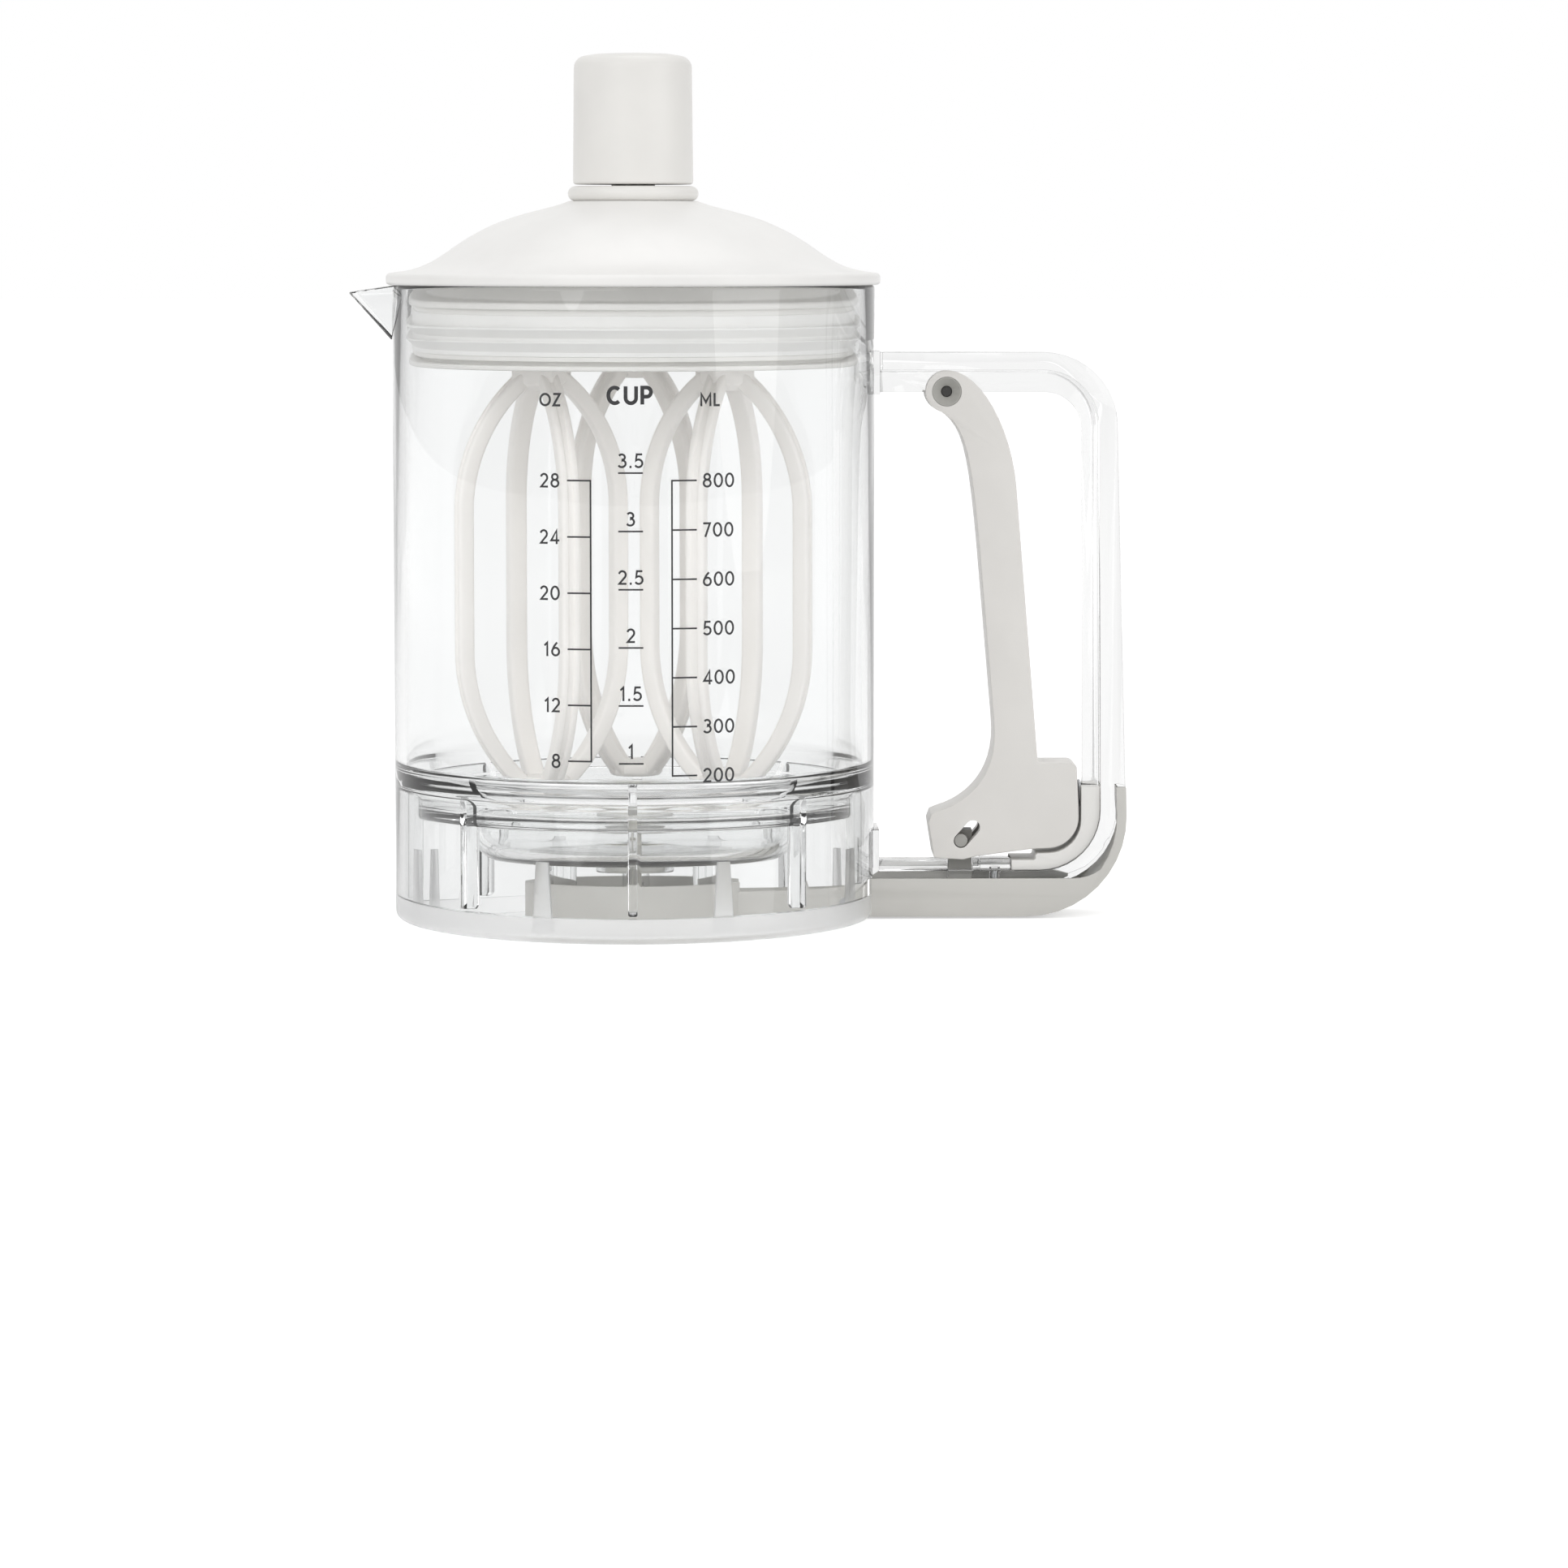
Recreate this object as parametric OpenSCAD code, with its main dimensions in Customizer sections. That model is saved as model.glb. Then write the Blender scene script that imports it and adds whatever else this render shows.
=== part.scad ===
// Batter dispenser: a clear beaker with three geared whisks under its lid, and a trigger
// in the handle that lifts a stopper out of the outlet in the beaker's floor.
// +Z is up, +X points to the handle and the spout is at -X. The origin is the middle of
// the foot ring, on the table. The trigger is drawn squeezed, with the valve open.

/* [Beaker] */
// Outer diameter of the beaker
beaker_d = 111; // [109:0.5:113]
// Thickness of the beaker's wall
wall = 2.6; // [2.3:0.1:2.8]
// Height of the beaker's rim above the table
rim_z = 146; // [142:1:156]
// Height of the outer edge of the floor inside the beaker
floor_z = 36.3; // [34.8:0.1:37]
// Thickness of the floor
floor_t = 2.4; // [2:0.1:2.6]
// Width of the sloping edge of the floor
slope_w = 5.3; // [4:0.1:7]
// Radius of the bowl in the middle of the floor
bowl_r = 35.4; // [33:0.2:38]
// Height of the foot ring
foot_h = 5.7; // [4:0.1:7]
// Number of ribs between the skirt and the floor
rib_count = 8; // [4:4:12]
// Thickness of a rib
rib_t = 2; // [1.2:0.1:3]

/* [Spout] */
// How far the tip of the spout stands out from the wall
spout_reach = 8.2; // [6:0.1:14]
// Height of the spout along the wall
spout_h = 14; // [10:0.2:18]
// Width of the spout where it leaves the wall
spout_w = 20; // [14:1:26]

/* [Outlet valve] */
// Diameter of the outlet tube under the bowl
outlet_d = 14; // [12:0.5:16]
// How far the stopper's pin travels in the trigger's cam slot, upwards
cam_rise = 2.9; // [2.4:0.1:3.1]
// How far the trigger swings from released to squeezed, in degrees
squeeze_angle = 1.55; // [1.2:0.05:1.7]
// Diameter of the pin on which the rocker lever turns
rocker_pin_d = 3; // [2:0.5:3.5]
// Distance of the rocker's pin from the beaker's axis
rocker_x = 48; // [46:0.5:49]
// Thickness of the rocker lever
rocker_t = 1.8; // [1.4:0.1:1.9]

/* [Handle] */
// Height of the top of the handle
handle_z = 130.6; // [128:0.2:132]
// Distance of the handle's back from the beaker's axis, at the top
handle_x = 110.7; // [109.5:0.1:113]
// How far the handle's back leans out from top to bottom
handle_lean = 3.6; // [2.5:0.1:4]
// Width of the handle's bar
bar_w = 16; // [15:0.5:18]
// Thickness of the handle's bar along its top and back
bar_t = 4; // [3:0.1:4.2]
// Thickness of the web inside the bar
web_w = 3.2; // [2.4:0.1:3.6]
// Depth of the web under the top arm
web_h = 5.3; // [4.4:0.1:6]
// Radius of the handle's upper corner
top_corner_r = 17; // [14:1:19]

/* [Handle base] */
// Gap between the table and the underside of the base
base_lift = 0.5; // [0.3:0.1:0.8]
// Thickness of the base's floor
base_floor = 2; // [1.6:0.1:2.1]
// Thickness of the base's side walls
base_wall = 1.2; // [1:0.1:1.8]
// Height of the base arm's side walls above the table
arm_top = 9.3; // [8.6:0.1:9.6]
// Radius of the round head under the bowl
head_r = 25.4; // [24:0.2:28]
// Height of the head's top above the table
head_top = 11.5; // [10.5:0.1:12]
// Radius of the base's outer corner
base_corner_r = 23; // [21:0.5:25]
// Height to which the base's outer strip reaches up the handle
strip_top = 30.4; // [29:0.2:36]

/* [Trigger] */
// Height of the trigger's pivot
pivot_z = 121.6; // [121.2:0.1:121.7]
// Distance of the trigger's pivot from the beaker's axis
pivot_x = 71.9; // [71:0.1:73]
// Diameter of the pivot pin
pivot_d = 4; // [3:0.2:4.4]
// Width of the trigger
trigger_w = 14; // [12:0.5:15.5]
// Radius of the trigger's upper boss
trigger_boss_r = 4.8; // [4.4:0.1:4.9]

/* [Lid] */
// How far the lid's rim stands out past the beaker's wall
rim_overhang = 1.3; // [0.4:0.1:3.5]
// Height of the lid's dome over the beaker's rim
dome_h = 19.1; // [17:0.1:24]
// Thickness of the lid's dome
dome_t = 2.4; // [2:0.1:3]
// Height of the plug under the lid, from the rim down
plug_h = 18.8; // [18.5:0.1:21]
// Diameter of the collar on top of the lid
collar_d = 30; // [26:0.5:34]
// Height of the collar's ring
collar_h = 3.4; // [2.6:0.2:5]

/* [Knob] */
// Diameter of the knob
knob_d = 27.6; // [24:0.2:34]
// Height of the knob
knob_h = 30; // [24:1:40]
// Diameter of the knob's spindle
spindle_d = 10; // [9:0.2:10.4]

/* [Whisks] */
// Teeth on the sun gear
sun_teeth = 32; // [32:2:34]
// Teeth on each planet gear
planet_teeth = 16; // [16:1:17]
// Size of the gear teeth: pitch diameter over number of teeth
gear_module = 1; // [1:0.01:1.04]
// Thickness of the gears
gear_t = 5; // [3:0.2:6]
// Radius that each whisk sweeps
whisk_r = 20.3; // [18:0.1:20.4]
// Width of a whisk's tine
tine_w = 4.4; // [3:0.1:5]
// Thickness of a whisk's tine
tine_t = 3.6; // [2.4:0.1:4.2]
// Side of the square hub at a whisk's top
hub_side = 10.4; // [9.6:0.1:11]
// Diameter of a whisk's spindle
whisk_spindle_d = 6; // [5:0.2:6.6]

/* [Hidden] */

// Clearances
running_fit = 0.05;
slip_gap = 0.1;
free_gap = 0.3;
over = 1;
fine = 96;
arc_steps = 10;

// Beaker
beaker_r = beaker_d / 2;
bore_r = beaker_r - wall;
slope_h = 5.7;
slope_drop = 1.6 * floor_t;
step_h = 3.2;
bowl_h = 8.8;
bowl_fillet = 5;
step_r = bore_r - slope_w;
ledge_z = floor_z - slope_h - step_h;
bowl_z = ledge_z - bowl_h;
bowl_under_z = bowl_z - floor_t;
outlet_r = outlet_d / 2;
outlet_wall = 2;
outlet_h = 2.5;
outlet_bottom_z = bowl_under_z - outlet_h;
rib_depth = 3.9;
rib_bottom_z = foot_h + 0.6;
foot_flange_w = 3;
foot_flange_t = 1.8;
foot_edge_r = 1.8;
tongue_h = 12.4;
tongue_w = 5;
tongue_t = 1.2;

// Handle frame: the bar follows the outside, and the web stands inside it
handle_bottom_z = 7.9;
low_bar_t = 3.1;
low_web_h = 2.2;
low_web_top_z = handle_bottom_z + low_bar_t + low_web_h;
back_web_h = 3.8;
low_corner_r = 17.5;
pad_t = 1;
pad_over = 0.3;
low_pad_top_z = 20.5;
frame_inner_x = beaker_r;

// Handle base
arm_half = bar_w / 2 + slip_gap + base_wall;
channel_half = bar_w / 2 + slip_gap;
base_floor_z = base_lift + base_floor;
strip_t = 2.2;
edge_corner_r = 10;
head_wall = 2;
mouth_r = 12;
fork_slot_x = 22;
fork_slot_half = 4.5;
screw_r = 1.2;
screw_head_r = 2.6;
screw_head_t = 1.2;
screw_pitch_r = 19;
post_boss_r = 3.2;
frame_screw_x = 83.6;
frame_boss_side = 7;

// Trigger and cam
post_x = 75.5;
cam_z = 17.9;
cam_high = turned([post_x, cam_z + cam_rise] - [pivot_x, pivot_z], squeeze_angle) + [pivot_x, pivot_z];
cam_run = cam_high.x - post_x;
cam_slot_r = 1.7;
cam_pin_r = 1.5;
fork_half = web_w / 2 + free_gap;
lug_r = 4.2;
recess_r = 3.4;
recess_depth = 2.5;
nub_r = 1.1;
nub_h = 0.8;
post_w = 5.4;
post_half = 2.8;
pocket_half = post_half + free_gap;
post_foot_r = 1.5;
post_top_z = cam_z + 2.1;
pivot_r = pivot_d / 2;

// Rocker: it rests tilted one way and swings as far the other way when released
rocker_z = (base_floor_z + handle_bottom_z) / 2 + 0.1;
rocker_arm = post_x - rocker_x;
rocker_tilt = atan(cam_rise / 2 / rocker_arm);
rocker_end_x = post_x + 2;
rocker_half = 3;
rocker_pin_r = rocker_pin_d / 2;
rocker_boss_r = 2.6;
fork_r = 4.5;
fork_inner_r = 1.9;
stopper_lift = 2 * rocker_x * tan(rocker_tilt);
fork_z = rocker_z + rocker_x * tan(rocker_tilt);
post_foot_z = rocker_z - rocker_arm * tan(rocker_tilt) + rocker_t / 2 / cos(rocker_tilt) + slip_gap;

// Stopper
stem_r = 1.5;
stem_flange_r = 3.2;
stem_flange_t = 0.8;
stem_play = rocker_t / 2 + 0.3;
seal_r = 8.8;
seal_nose_r = 4.6;
seal_h = 4;
seat_inner_r = outlet_r - 1.5;
guide_r = 2.9;
seal_gap = 0.15;
seal_slope = (seal_r - seal_nose_r) / 2.8;
seal_nose_z = bowl_z + seal_gap - (seat_inner_r - seal_nose_r) / seal_slope + stopper_lift;
cap_r = 5;
cap_h = 1.2;

// Return spring, lying in the trigger's rear block
spring_z = 28.5;
spring_r = 2.6;
spring_wire_r = 0.4;
spring_pocket_r = 3.3;
heel_x = handle_x - 7.4;
spring_pocket_x = heel_x - 8.8;
spring_seat_x = heel_x + 0.3;
spring_turns = 6;

// Lid
lid_r = beaker_r + rim_overhang;
lid_under_z = rim_z;
rim_t = 2.9;
rim_top_z = rim_z + rim_t;
dome_z = rim_z + dome_h;
dome_rise = dome_h - rim_t;
dome_inner_r = 0.7835 * lid_r;
rim_flat_w = 2.4;
collar_r = collar_d / 2;
collar_z = dome_z + collar_h;
sleeve_r = 8;
sleeve_bottom_z = rim_z + 4;
plug_bottom_z = rim_z - plug_h;
plug_plate_t = 3;
plate_top_z = plug_bottom_z + plug_plate_t;
plug_flange_r = bore_r - 0.9;
plug_flange_t = 1.1;
plug_top_flange_t = 1.6;
plug_body_r = plug_flange_r - 1;
neck_r = plug_flange_r - 4.5;
neck_h = 3.8;
plug_cavity_r = neck_r - 3;
seal_seat_r = plug_body_r - 1.5;
seal_low_z = plug_bottom_z + 3;
seal_high_z = rim_z - 6.6;
fin_r = bore_r - 0.25;
fin_t = 0.8;

// Knob and gears
knob_r = knob_d / 2;
knob_z = collar_z + 0.4;
knob_wall = 2.4;
knob_edge_r = 3;
knob_hub_r = 7.6;
spindle_r = spindle_d / 2;
sun_seat_r = spindle_r - 1;
spigot_r = 3;
spigot_depth = 1.5;
gear_z = plate_top_z + 1.1;
gear_top_z = gear_z + gear_t;
clip_t = 1.2;
clip_r = 8;
clip_groove_r = spindle_r - 0.7;
clip_z = sleeve_bottom_z - 0.4 - clip_t;
addendum = 0.8 * gear_module;
dedendum = 1.15 * gear_module;
tooth_half = 0.58 * gear_module;
tooth_lean = tan(22);

// Whisks
gear_distance = gear_module * (sun_teeth + planet_teeth) / 2 + slip_gap;
whisk_angles = [210, 330, 90];
whisk_turns = [-24, 24, 0];
bush_flange_r = 7.4;
bush_flange_t = 1.5;
bush_r = 5.2;
bush_top_z = plate_top_z + 0.8;
hub_gap = 0.3;
hub_h = 3.9;
hub_top_z = plug_bottom_z - bush_flange_t - hub_gap;
hub_bottom_z = hub_top_z - hub_h;
whisk_spindle_r = whisk_spindle_d / 2;
whisk_spindle_bottom_z = hub_top_z - 2.8;
cage_top_z = hub_bottom_z - 27.4;
whisk_bottom_z = ledge_z + 3.2;
cage_low_z = whisk_bottom_z + 32;
root_r = 8.6;
foot_r = 5.6;
foot_disc_r = 6.4;
foot_disc_h = 3.4;

// A polygon's corner, rounded: the arc's points between the two edges that meet there
function corner_arc(before, at, after, r) =
    let (a = (before - at) / norm(before - at), b = (after - at) / norm(after - at),
        half = acos(a * b) / 2, reach = r / tan(half),
        mid = (a + b) / norm(a + b), centre = at + mid * r / sin(half),
        from = at + a * reach - centre, to = at + b * reach - centre,
        turn = atan2(from.x * to.y - from.y * to.x, from * to))
    [for (i = [0:arc_steps]) let (t = turn * i / arc_steps)
        centre + [from.x * cos(t) - from.y * sin(t), from.x * sin(t) + from.y * cos(t)]];

// An outline from corners [x, z, radius]; a radius of 0 keeps the corner sharp
function rounded(corners) =
    [for (i = [0:len(corners) - 1])
        let (n = len(corners), at = corners[i], r = at[2],
            before = corners[(i + n - 1) % n], after = corners[(i + 1) % n])
        each r == 0 ? [[at.x, at.y]]
            : corner_arc([before.x, before.y], [at.x, at.y], [after.x, after.y], r)];

function bezier(p, t) =
    pow(1 - t, 3) * p[0] + 3 * t * pow(1 - t, 2) * p[1]
    + 3 * t * t * (1 - t) * p[2] + pow(t, 3) * p[3];

// A point of the XZ plane turned about the origin, +X towards +Z
function turned(p, a) = [p.x * cos(a) - p.y * sin(a), p.x * sin(a) + p.y * cos(a)];

function curve(p, steps) = [for (i = [0:steps]) bezier(p, i / steps)];

// Distance of the handle's back from the axis at a height
function back_x(z) = handle_x + handle_lean * (handle_z - z) / (handle_z - base_lift);

// A slab of an XZ outline, centred on Y = 0
module slab(w) {
    rotate([90, 0, 0]) linear_extrude(w, center = true) children();
}

module y_pin(x, z, r, w, steps = 48) {
    translate([x, 0, z]) rotate([90, 0, 0]) cylinder(h = w, r = r, center = true, $fn = steps);
}

module z_pin(x, y, low, high, r, steps = 48) {
    translate([x, y, low]) cylinder(h = high - low, r = r, $fn = steps);
}

module box_between(low, high) {
    translate(low) cube(high - low);
}

// ---- Beaker ----

// The floor: a sloping edge, a step, a flat ledge and the bowl with its outlet tube
module floor_profile() {
    under_step_z = ledge_z - floor_t;
    polygon(concat(
        [[bore_r, floor_z], [step_r, floor_z - slope_h], [step_r, ledge_z]],
        rounded([[bowl_r, ledge_z, 0], [bowl_r, bowl_z, bowl_fillet], [outlet_r, bowl_z, 0]]),
        [[outlet_r, outlet_bottom_z], [outlet_r + outlet_wall, outlet_bottom_z],
            [outlet_r + outlet_wall, bowl_under_z]],
        rounded([[outlet_r + outlet_wall, bowl_under_z, 0],
            [bowl_r + floor_t, bowl_under_z, bowl_fillet + floor_t],
            [bowl_r + floor_t, under_step_z, 0]]),
        [[step_r + floor_t, under_step_z], [step_r + floor_t, floor_z - slope_h - 1],
            [bore_r, floor_z - slope_drop]]));
}

// The spout's body, grown by g on its flanks and towards its tip
module spout_form(g) {
    tip_r = 2.2 + g;
    root_x = bore_r + wall / 2;
    hull() {
        z_pin(-beaker_r - spout_reach + 2.2, 0, rim_z - 2.2, rim_z - 1.6, tip_r, 24);
        for (side = [-1, 1])
            z_pin(-root_x + 2.4, side * (spout_w / 2 - 2), rim_z - 1, rim_z, 1 + g, 24);
        z_pin(-root_x + 0.6, 0, rim_z - spout_h + 1.4, rim_z - spout_h + 2, 0.8 + g, 24);
    }
}

module rib_profile() {
    polygon([[bore_r - rib_depth, rib_bottom_z + over], [bore_r - rib_depth + over, rib_bottom_z],
        [bore_r + over, rib_bottom_z], [bore_r + over, floor_z - slope_drop + 1.5],
        [bore_r - rib_depth, floor_z - slope_h]]);
}

// The window that lets the base's arm through the skirt
module arm_window() {
    box_between([bore_r - rib_depth - over, -arm_half - free_gap, 0],
        [beaker_r + over, arm_half + free_gap, arm_top + free_gap]);
}

// The beaker's wall, with its spout and its skirt
module beaker() {
    color([0.93, 0.95, 0.95, 0.35]) difference() {
        union() {
            rotate_extrude($fn = fine) translate([bore_r, foot_h]) square([wall, rim_z - foot_h]);
            difference() {
                spout_form(1.6);
                z_pin(0, 0, rim_z - spout_h - over, rim_z + over, bore_r + wall / 2, fine);
            }
        }
        // the pouring channel of the spout
        translate([0, 0, 0.5]) spout_form(0);
        arm_window();
    }
}

// The beaker's floor, with the ribs and screw bosses under it
module beaker_floor() {
    color([0.93, 0.95, 0.95, 0.35]) difference() {
        union() {
            rotate_extrude($fn = fine) floor_profile();
            intersection() {
                for (i = [0:rib_count - 1]) rotate([0, 0, i * 360 / rib_count])
                    slab(rib_t) rib_profile();
                z_pin(0, 0, 0, floor_z, bore_r, fine);
            }
            for (a = [90, 210, 330]) rotate([0, 0, a])
                z_pin(screw_pitch_r, 0, base_floor_z, bowl_under_z + floor_t / 2, post_boss_r);
        }
        // screw holes in the bosses
        for (a = [90, 210, 330]) rotate([0, 0, a])
            z_pin(screw_pitch_r, 0, base_floor_z - over, base_floor_z + 8, screw_r + running_fit);
        arm_window();
    }
}

module foot_ring() {
    color([0.94, 0.95, 0.95, 0.6]) difference() {
        union() {
            rotate_extrude($fn = fine) polygon(rounded([
                [beaker_r, 0, foot_edge_r], [beaker_r, foot_h, 0], [bore_r, foot_h, 0],
                [bore_r, foot_flange_t, 0], [bore_r - foot_flange_w, foot_flange_t, 0],
                [bore_r - foot_flange_w, 0, 0]]));
            // tapered tongues that locate the ring in the skirt
            for (i = [0:7]) rotate([0, 0, 22.5 + 45 * i])
                translate([bore_r - slip_gap - tongue_t, 0, 0]) rotate([90, 0, 90])
                    linear_extrude(tongue_t - 0.4) polygon([[-tongue_w / 2, foot_flange_t - 0.4],
                        [tongue_w / 2, foot_flange_t - 0.4],
                        [tongue_w / 3.4, foot_h + tongue_h], [-tongue_w / 3.4, foot_h + tongue_h]]);
        }
        box_between([bore_r - foot_flange_w - over, -arm_half - free_gap, -over],
            [beaker_r + over, arm_half + free_gap, foot_h + tongue_h + over]);
    }
}

// ---- Handle ----

// The region inside the handle's outer line, drawn in by t at the top, b at the back
// and l at the bottom
module frame_region(t, b, l) {
    polygon(rounded([
        [frame_inner_x - over, handle_z - t, 0],
        [back_x(handle_z - t) - b, handle_z - t, top_corner_r - (t + b) / 2],
        [back_x(handle_bottom_z + l) - b - strip_t, handle_bottom_z + l, low_corner_r - (l + b) / 2],
        [frame_inner_x - over, handle_bottom_z + l, 0]]));
}

// The clear bar above the strip is flush with the strip's outer face
module frame_skin() {
    polygon(concat(
        rounded([[frame_inner_x - over, handle_z, 0],
            [back_x(handle_z), handle_z, top_corner_r],
            [back_x(strip_top), strip_top + slip_gap, 0]]),
        [[back_x(strip_top) - bar_t - over, strip_top + slip_gap],
            [frame_inner_x - over, strip_top + slip_gap]]));
}

module bar_outline() {
    difference() {
        union() {
            frame_region(0, 0, 0);
            frame_skin();
        }
        frame_region(bar_t, bar_t, low_bar_t);
    }
}

module web_outline(grow = 0) {
    difference() {
        frame_region(bar_t - over / 2, bar_t - over / 2, low_bar_t - over / 2);
        frame_region(bar_t + web_h + grow, bar_t + back_web_h + grow, low_bar_t + low_web_h + grow);
    }
}

module handle_frame() {
    slot_half_x = post_w / 2 + free_gap;
    slot_half_y = post_half + free_gap;
    color([0.93, 0.95, 0.95, 0.35]) difference() {
        union() {
            slab(bar_w) bar_outline();
            slab(web_w) web_outline();
            // the lug that carries the trigger's pivot
            y_pin(pivot_x, pivot_z, lug_r, web_w);
            // pads that join the arms to the beaker
            box_between([frame_inner_x - over, -bar_w / 2 - pad_over, handle_z - bar_t - web_h - pad_over],
                [frame_inner_x + pad_t, bar_w / 2 + pad_over, handle_z + pad_over]);
            box_between([frame_inner_x - over, -bar_w / 2, handle_bottom_z],
                [frame_inner_x + pad_t, bar_w / 2, low_pad_top_z]);
            // screw boss over the base's arm
            translate([frame_screw_x, 0, 0]) box_between(
                [-frame_boss_side / 2, -frame_boss_side / 2, base_floor_z],
                [frame_boss_side / 2, frame_boss_side / 2, low_web_top_z]);
        }
        z_pin(0, 0, 0, handle_z + 2 * pad_over, beaker_r, fine);
        slab(2 * arm_half + over) base_shell_outline();
        y_pin(pivot_x, pivot_z, pivot_r, bar_w);
        box_between([post_x - slot_half_x, -slot_half_y, 0],
            [post_x + slot_half_x, slot_half_y, cam_z]);
        z_pin(frame_screw_x, 0, 0, handle_bottom_z + low_bar_t, screw_r + running_fit);
    }
}

// ---- Handle base ----

// The base's silhouette, from the beaker's axis to the handle's back
module base_outline(inset, low) {
    polygon(rounded([[0, base_lift + low, 0],
        [back_x(base_lift) - inset, base_lift + low, base_corner_r - inset],
        [back_x(strip_top) - inset, strip_top, 0], [0, strip_top, 0]]));
}

// What lies above the side walls' top edge
module over_edge() {
    polygon(concat([[-over, strip_top + over], [-over, arm_top]],
        rounded([[-over, arm_top, 0], [back_x(arm_top) - strip_t, arm_top, edge_corner_r],
            [back_x(strip_top + over) - strip_t, strip_top + over, 0]])));
}

module base_shell_outline() {
    difference() {
        base_outline(0, 0);
        base_outline(strip_t, base_floor);
    }
}

// Everything from x and z on, as far as the handle's back and the strip's top
module arm_region(x, z) {
    translate([x, z]) square([handle_x + handle_lean + over - x, strip_top + over - z]);
}

module base_side_outline() {
    difference() {
        base_outline(0, 0);
        over_edge();
    }
}

module handle_base() {
    boss_x = 2.6;
    color([0.94, 0.94, 0.92]) difference() {
        union() {
            slab(2 * arm_half) intersection() {
                base_shell_outline();
                arm_region(head_r - 4, 0);
            }
            difference() {
                slab(2 * arm_half) intersection() {
                    base_side_outline();
                    arm_region(head_r - 4, 0);
                }
                slab(2 * channel_half) arm_region(0, base_floor_z);
            }
            difference() {
                z_pin(0, 0, base_lift, head_top, head_r, fine);
                z_pin(0, 0, base_floor_z, head_top + over, head_r - head_wall, fine);
                box_between([0, -channel_half, base_floor_z],
                    [head_r + over, channel_half, head_top + over]);
            }
            // ears that hold the rocker's pin
            for (side = [0, 1]) mirror([0, side, 0])
                box_between([rocker_x - boss_x, rocker_half + free_gap - 0.1, base_floor_z - 0.2],
                    [rocker_x + boss_x, channel_half + 0.1, rocker_z + boss_x]);
        }
        // the batter's way out, and room for the rocker's fork
        z_pin(0, 0, 0, base_floor_z + over, mouth_r, fine);
        box_between([0, -fork_slot_half, 0], [fork_slot_x, fork_slot_half, base_floor_z + over]);
        y_pin(rocker_x, rocker_z, rocker_pin_r, 2 * arm_half + over);
        // screws from below: three into the beaker's bosses and one into the handle
        for (a = [90, 210, 330]) rotate([0, 0, a]) screw_hole(screw_pitch_r);
        screw_hole(frame_screw_x);
    }
}

module screw_hole(x) {
    z_pin(x, 0, 0, base_floor_z + over, screw_r + running_fit);
    z_pin(x, 0, 0, base_lift + screw_head_t, screw_head_r + slip_gap);
}

module screw(x, top) {
    z_pin(x, 0, base_lift + 0.2, base_lift + screw_head_t, screw_head_r);
    z_pin(x, 0, base_lift + screw_head_t, top, screw_r);
}

module base_screws() {
    color([0.7, 0.71, 0.72]) {
        for (a = [90, 210, 330]) rotate([0, 0, a]) screw(screw_pitch_r, base_floor_z + 7);
        screw(frame_screw_x, handle_bottom_z + low_bar_t - 0.5);
    }
}

// White insert in the handle's lower corner: it forks over the web and backs the spring
module bracket_outline() {
    nose_x = heel_x - 16.1;
    ledge_x = heel_x - 10.5;
    low = handle_bottom_z + low_bar_t;
    difference() {
        intersection() {
            frame_region(bar_t + slip_gap, bar_t + slip_gap, low_bar_t + slip_gap);
            translate([nose_x, low]) square([handle_x + handle_lean - nose_x, strip_top - low]);
        }
        // room for the trigger's rounded heel
        polygon(rounded([[nose_x - over, strip_top + over, 0], [nose_x - over, low + 2.4, 0],
            [ledge_x, low + 2.4, 0.6], [ledge_x, low + 3.9, 0.6],
            [heel_x, low + 4.2, 7.6], [heel_x, strip_top + over, 0]]));
    }
}

module spring_bracket() {
    color([0.92, 0.92, 0.9]) difference() {
        slab(bar_w - 1.6) bracket_outline();
        slab(web_w + 2 * slip_gap) web_outline(slip_gap);
        translate([heel_x - over, 0, spring_z]) rotate([0, 90, 0])
            cylinder(h = over + spring_seat_x - heel_x, r = spring_r + spring_wire_r + slip_gap, $fn = 48);
    }
}

module return_spring() {
    first_x = spring_pocket_x + free_gap + spring_wire_r;
    pitch = (spring_seat_x - spring_wire_r - first_x) / spring_turns;
    color([0.75, 0.76, 0.78]) for (i = [0:spring_turns])
        translate([first_x + i * pitch, 0, spring_z]) rotate([0, 90, 0])
            rotate_extrude($fn = 48) translate([spring_r, 0]) circle(r = spring_wire_r, $fn = 16);
}

module rocker_pin() {
    color([0.72, 0.73, 0.75]) y_pin(rocker_x, rocker_z, rocker_pin_r, 2 * arm_half - 0.4);
}

module pivot_pin() {
    end = trigger_w / 2 - recess_depth - 0.1;
    color([0.72, 0.73, 0.75]) union() {
        y_pin(pivot_x, pivot_z, pivot_r, 2 * end);
        y_pin(pivot_x, pivot_z, nub_r, 2 * (end + nub_h));
    }
}

// ---- Outlet ----

module outlet_seat() {
    low = outlet_bottom_z + 0.4;
    spoke_high = bowl_z - 1.4;
    color([0.9, 0.9, 0.88]) union() {
        difference() {
            z_pin(0, 0, low, bowl_z, outlet_r, fine);
            z_pin(0, 0, low - over, bowl_z + over, seat_inner_r, fine);
        }
        difference() {
            z_pin(0, 0, low, spoke_high, guide_r);
            z_pin(0, 0, low - over, spoke_high + over, stem_r + running_fit);
        }
        for (a = [30, 150, 270]) rotate([0, 0, a])
            box_between([guide_r - 0.5, -0.6, low + 0.3], [seat_inner_r + 0.5, 0.6, spoke_high - 0.3]);
    }
}

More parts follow.
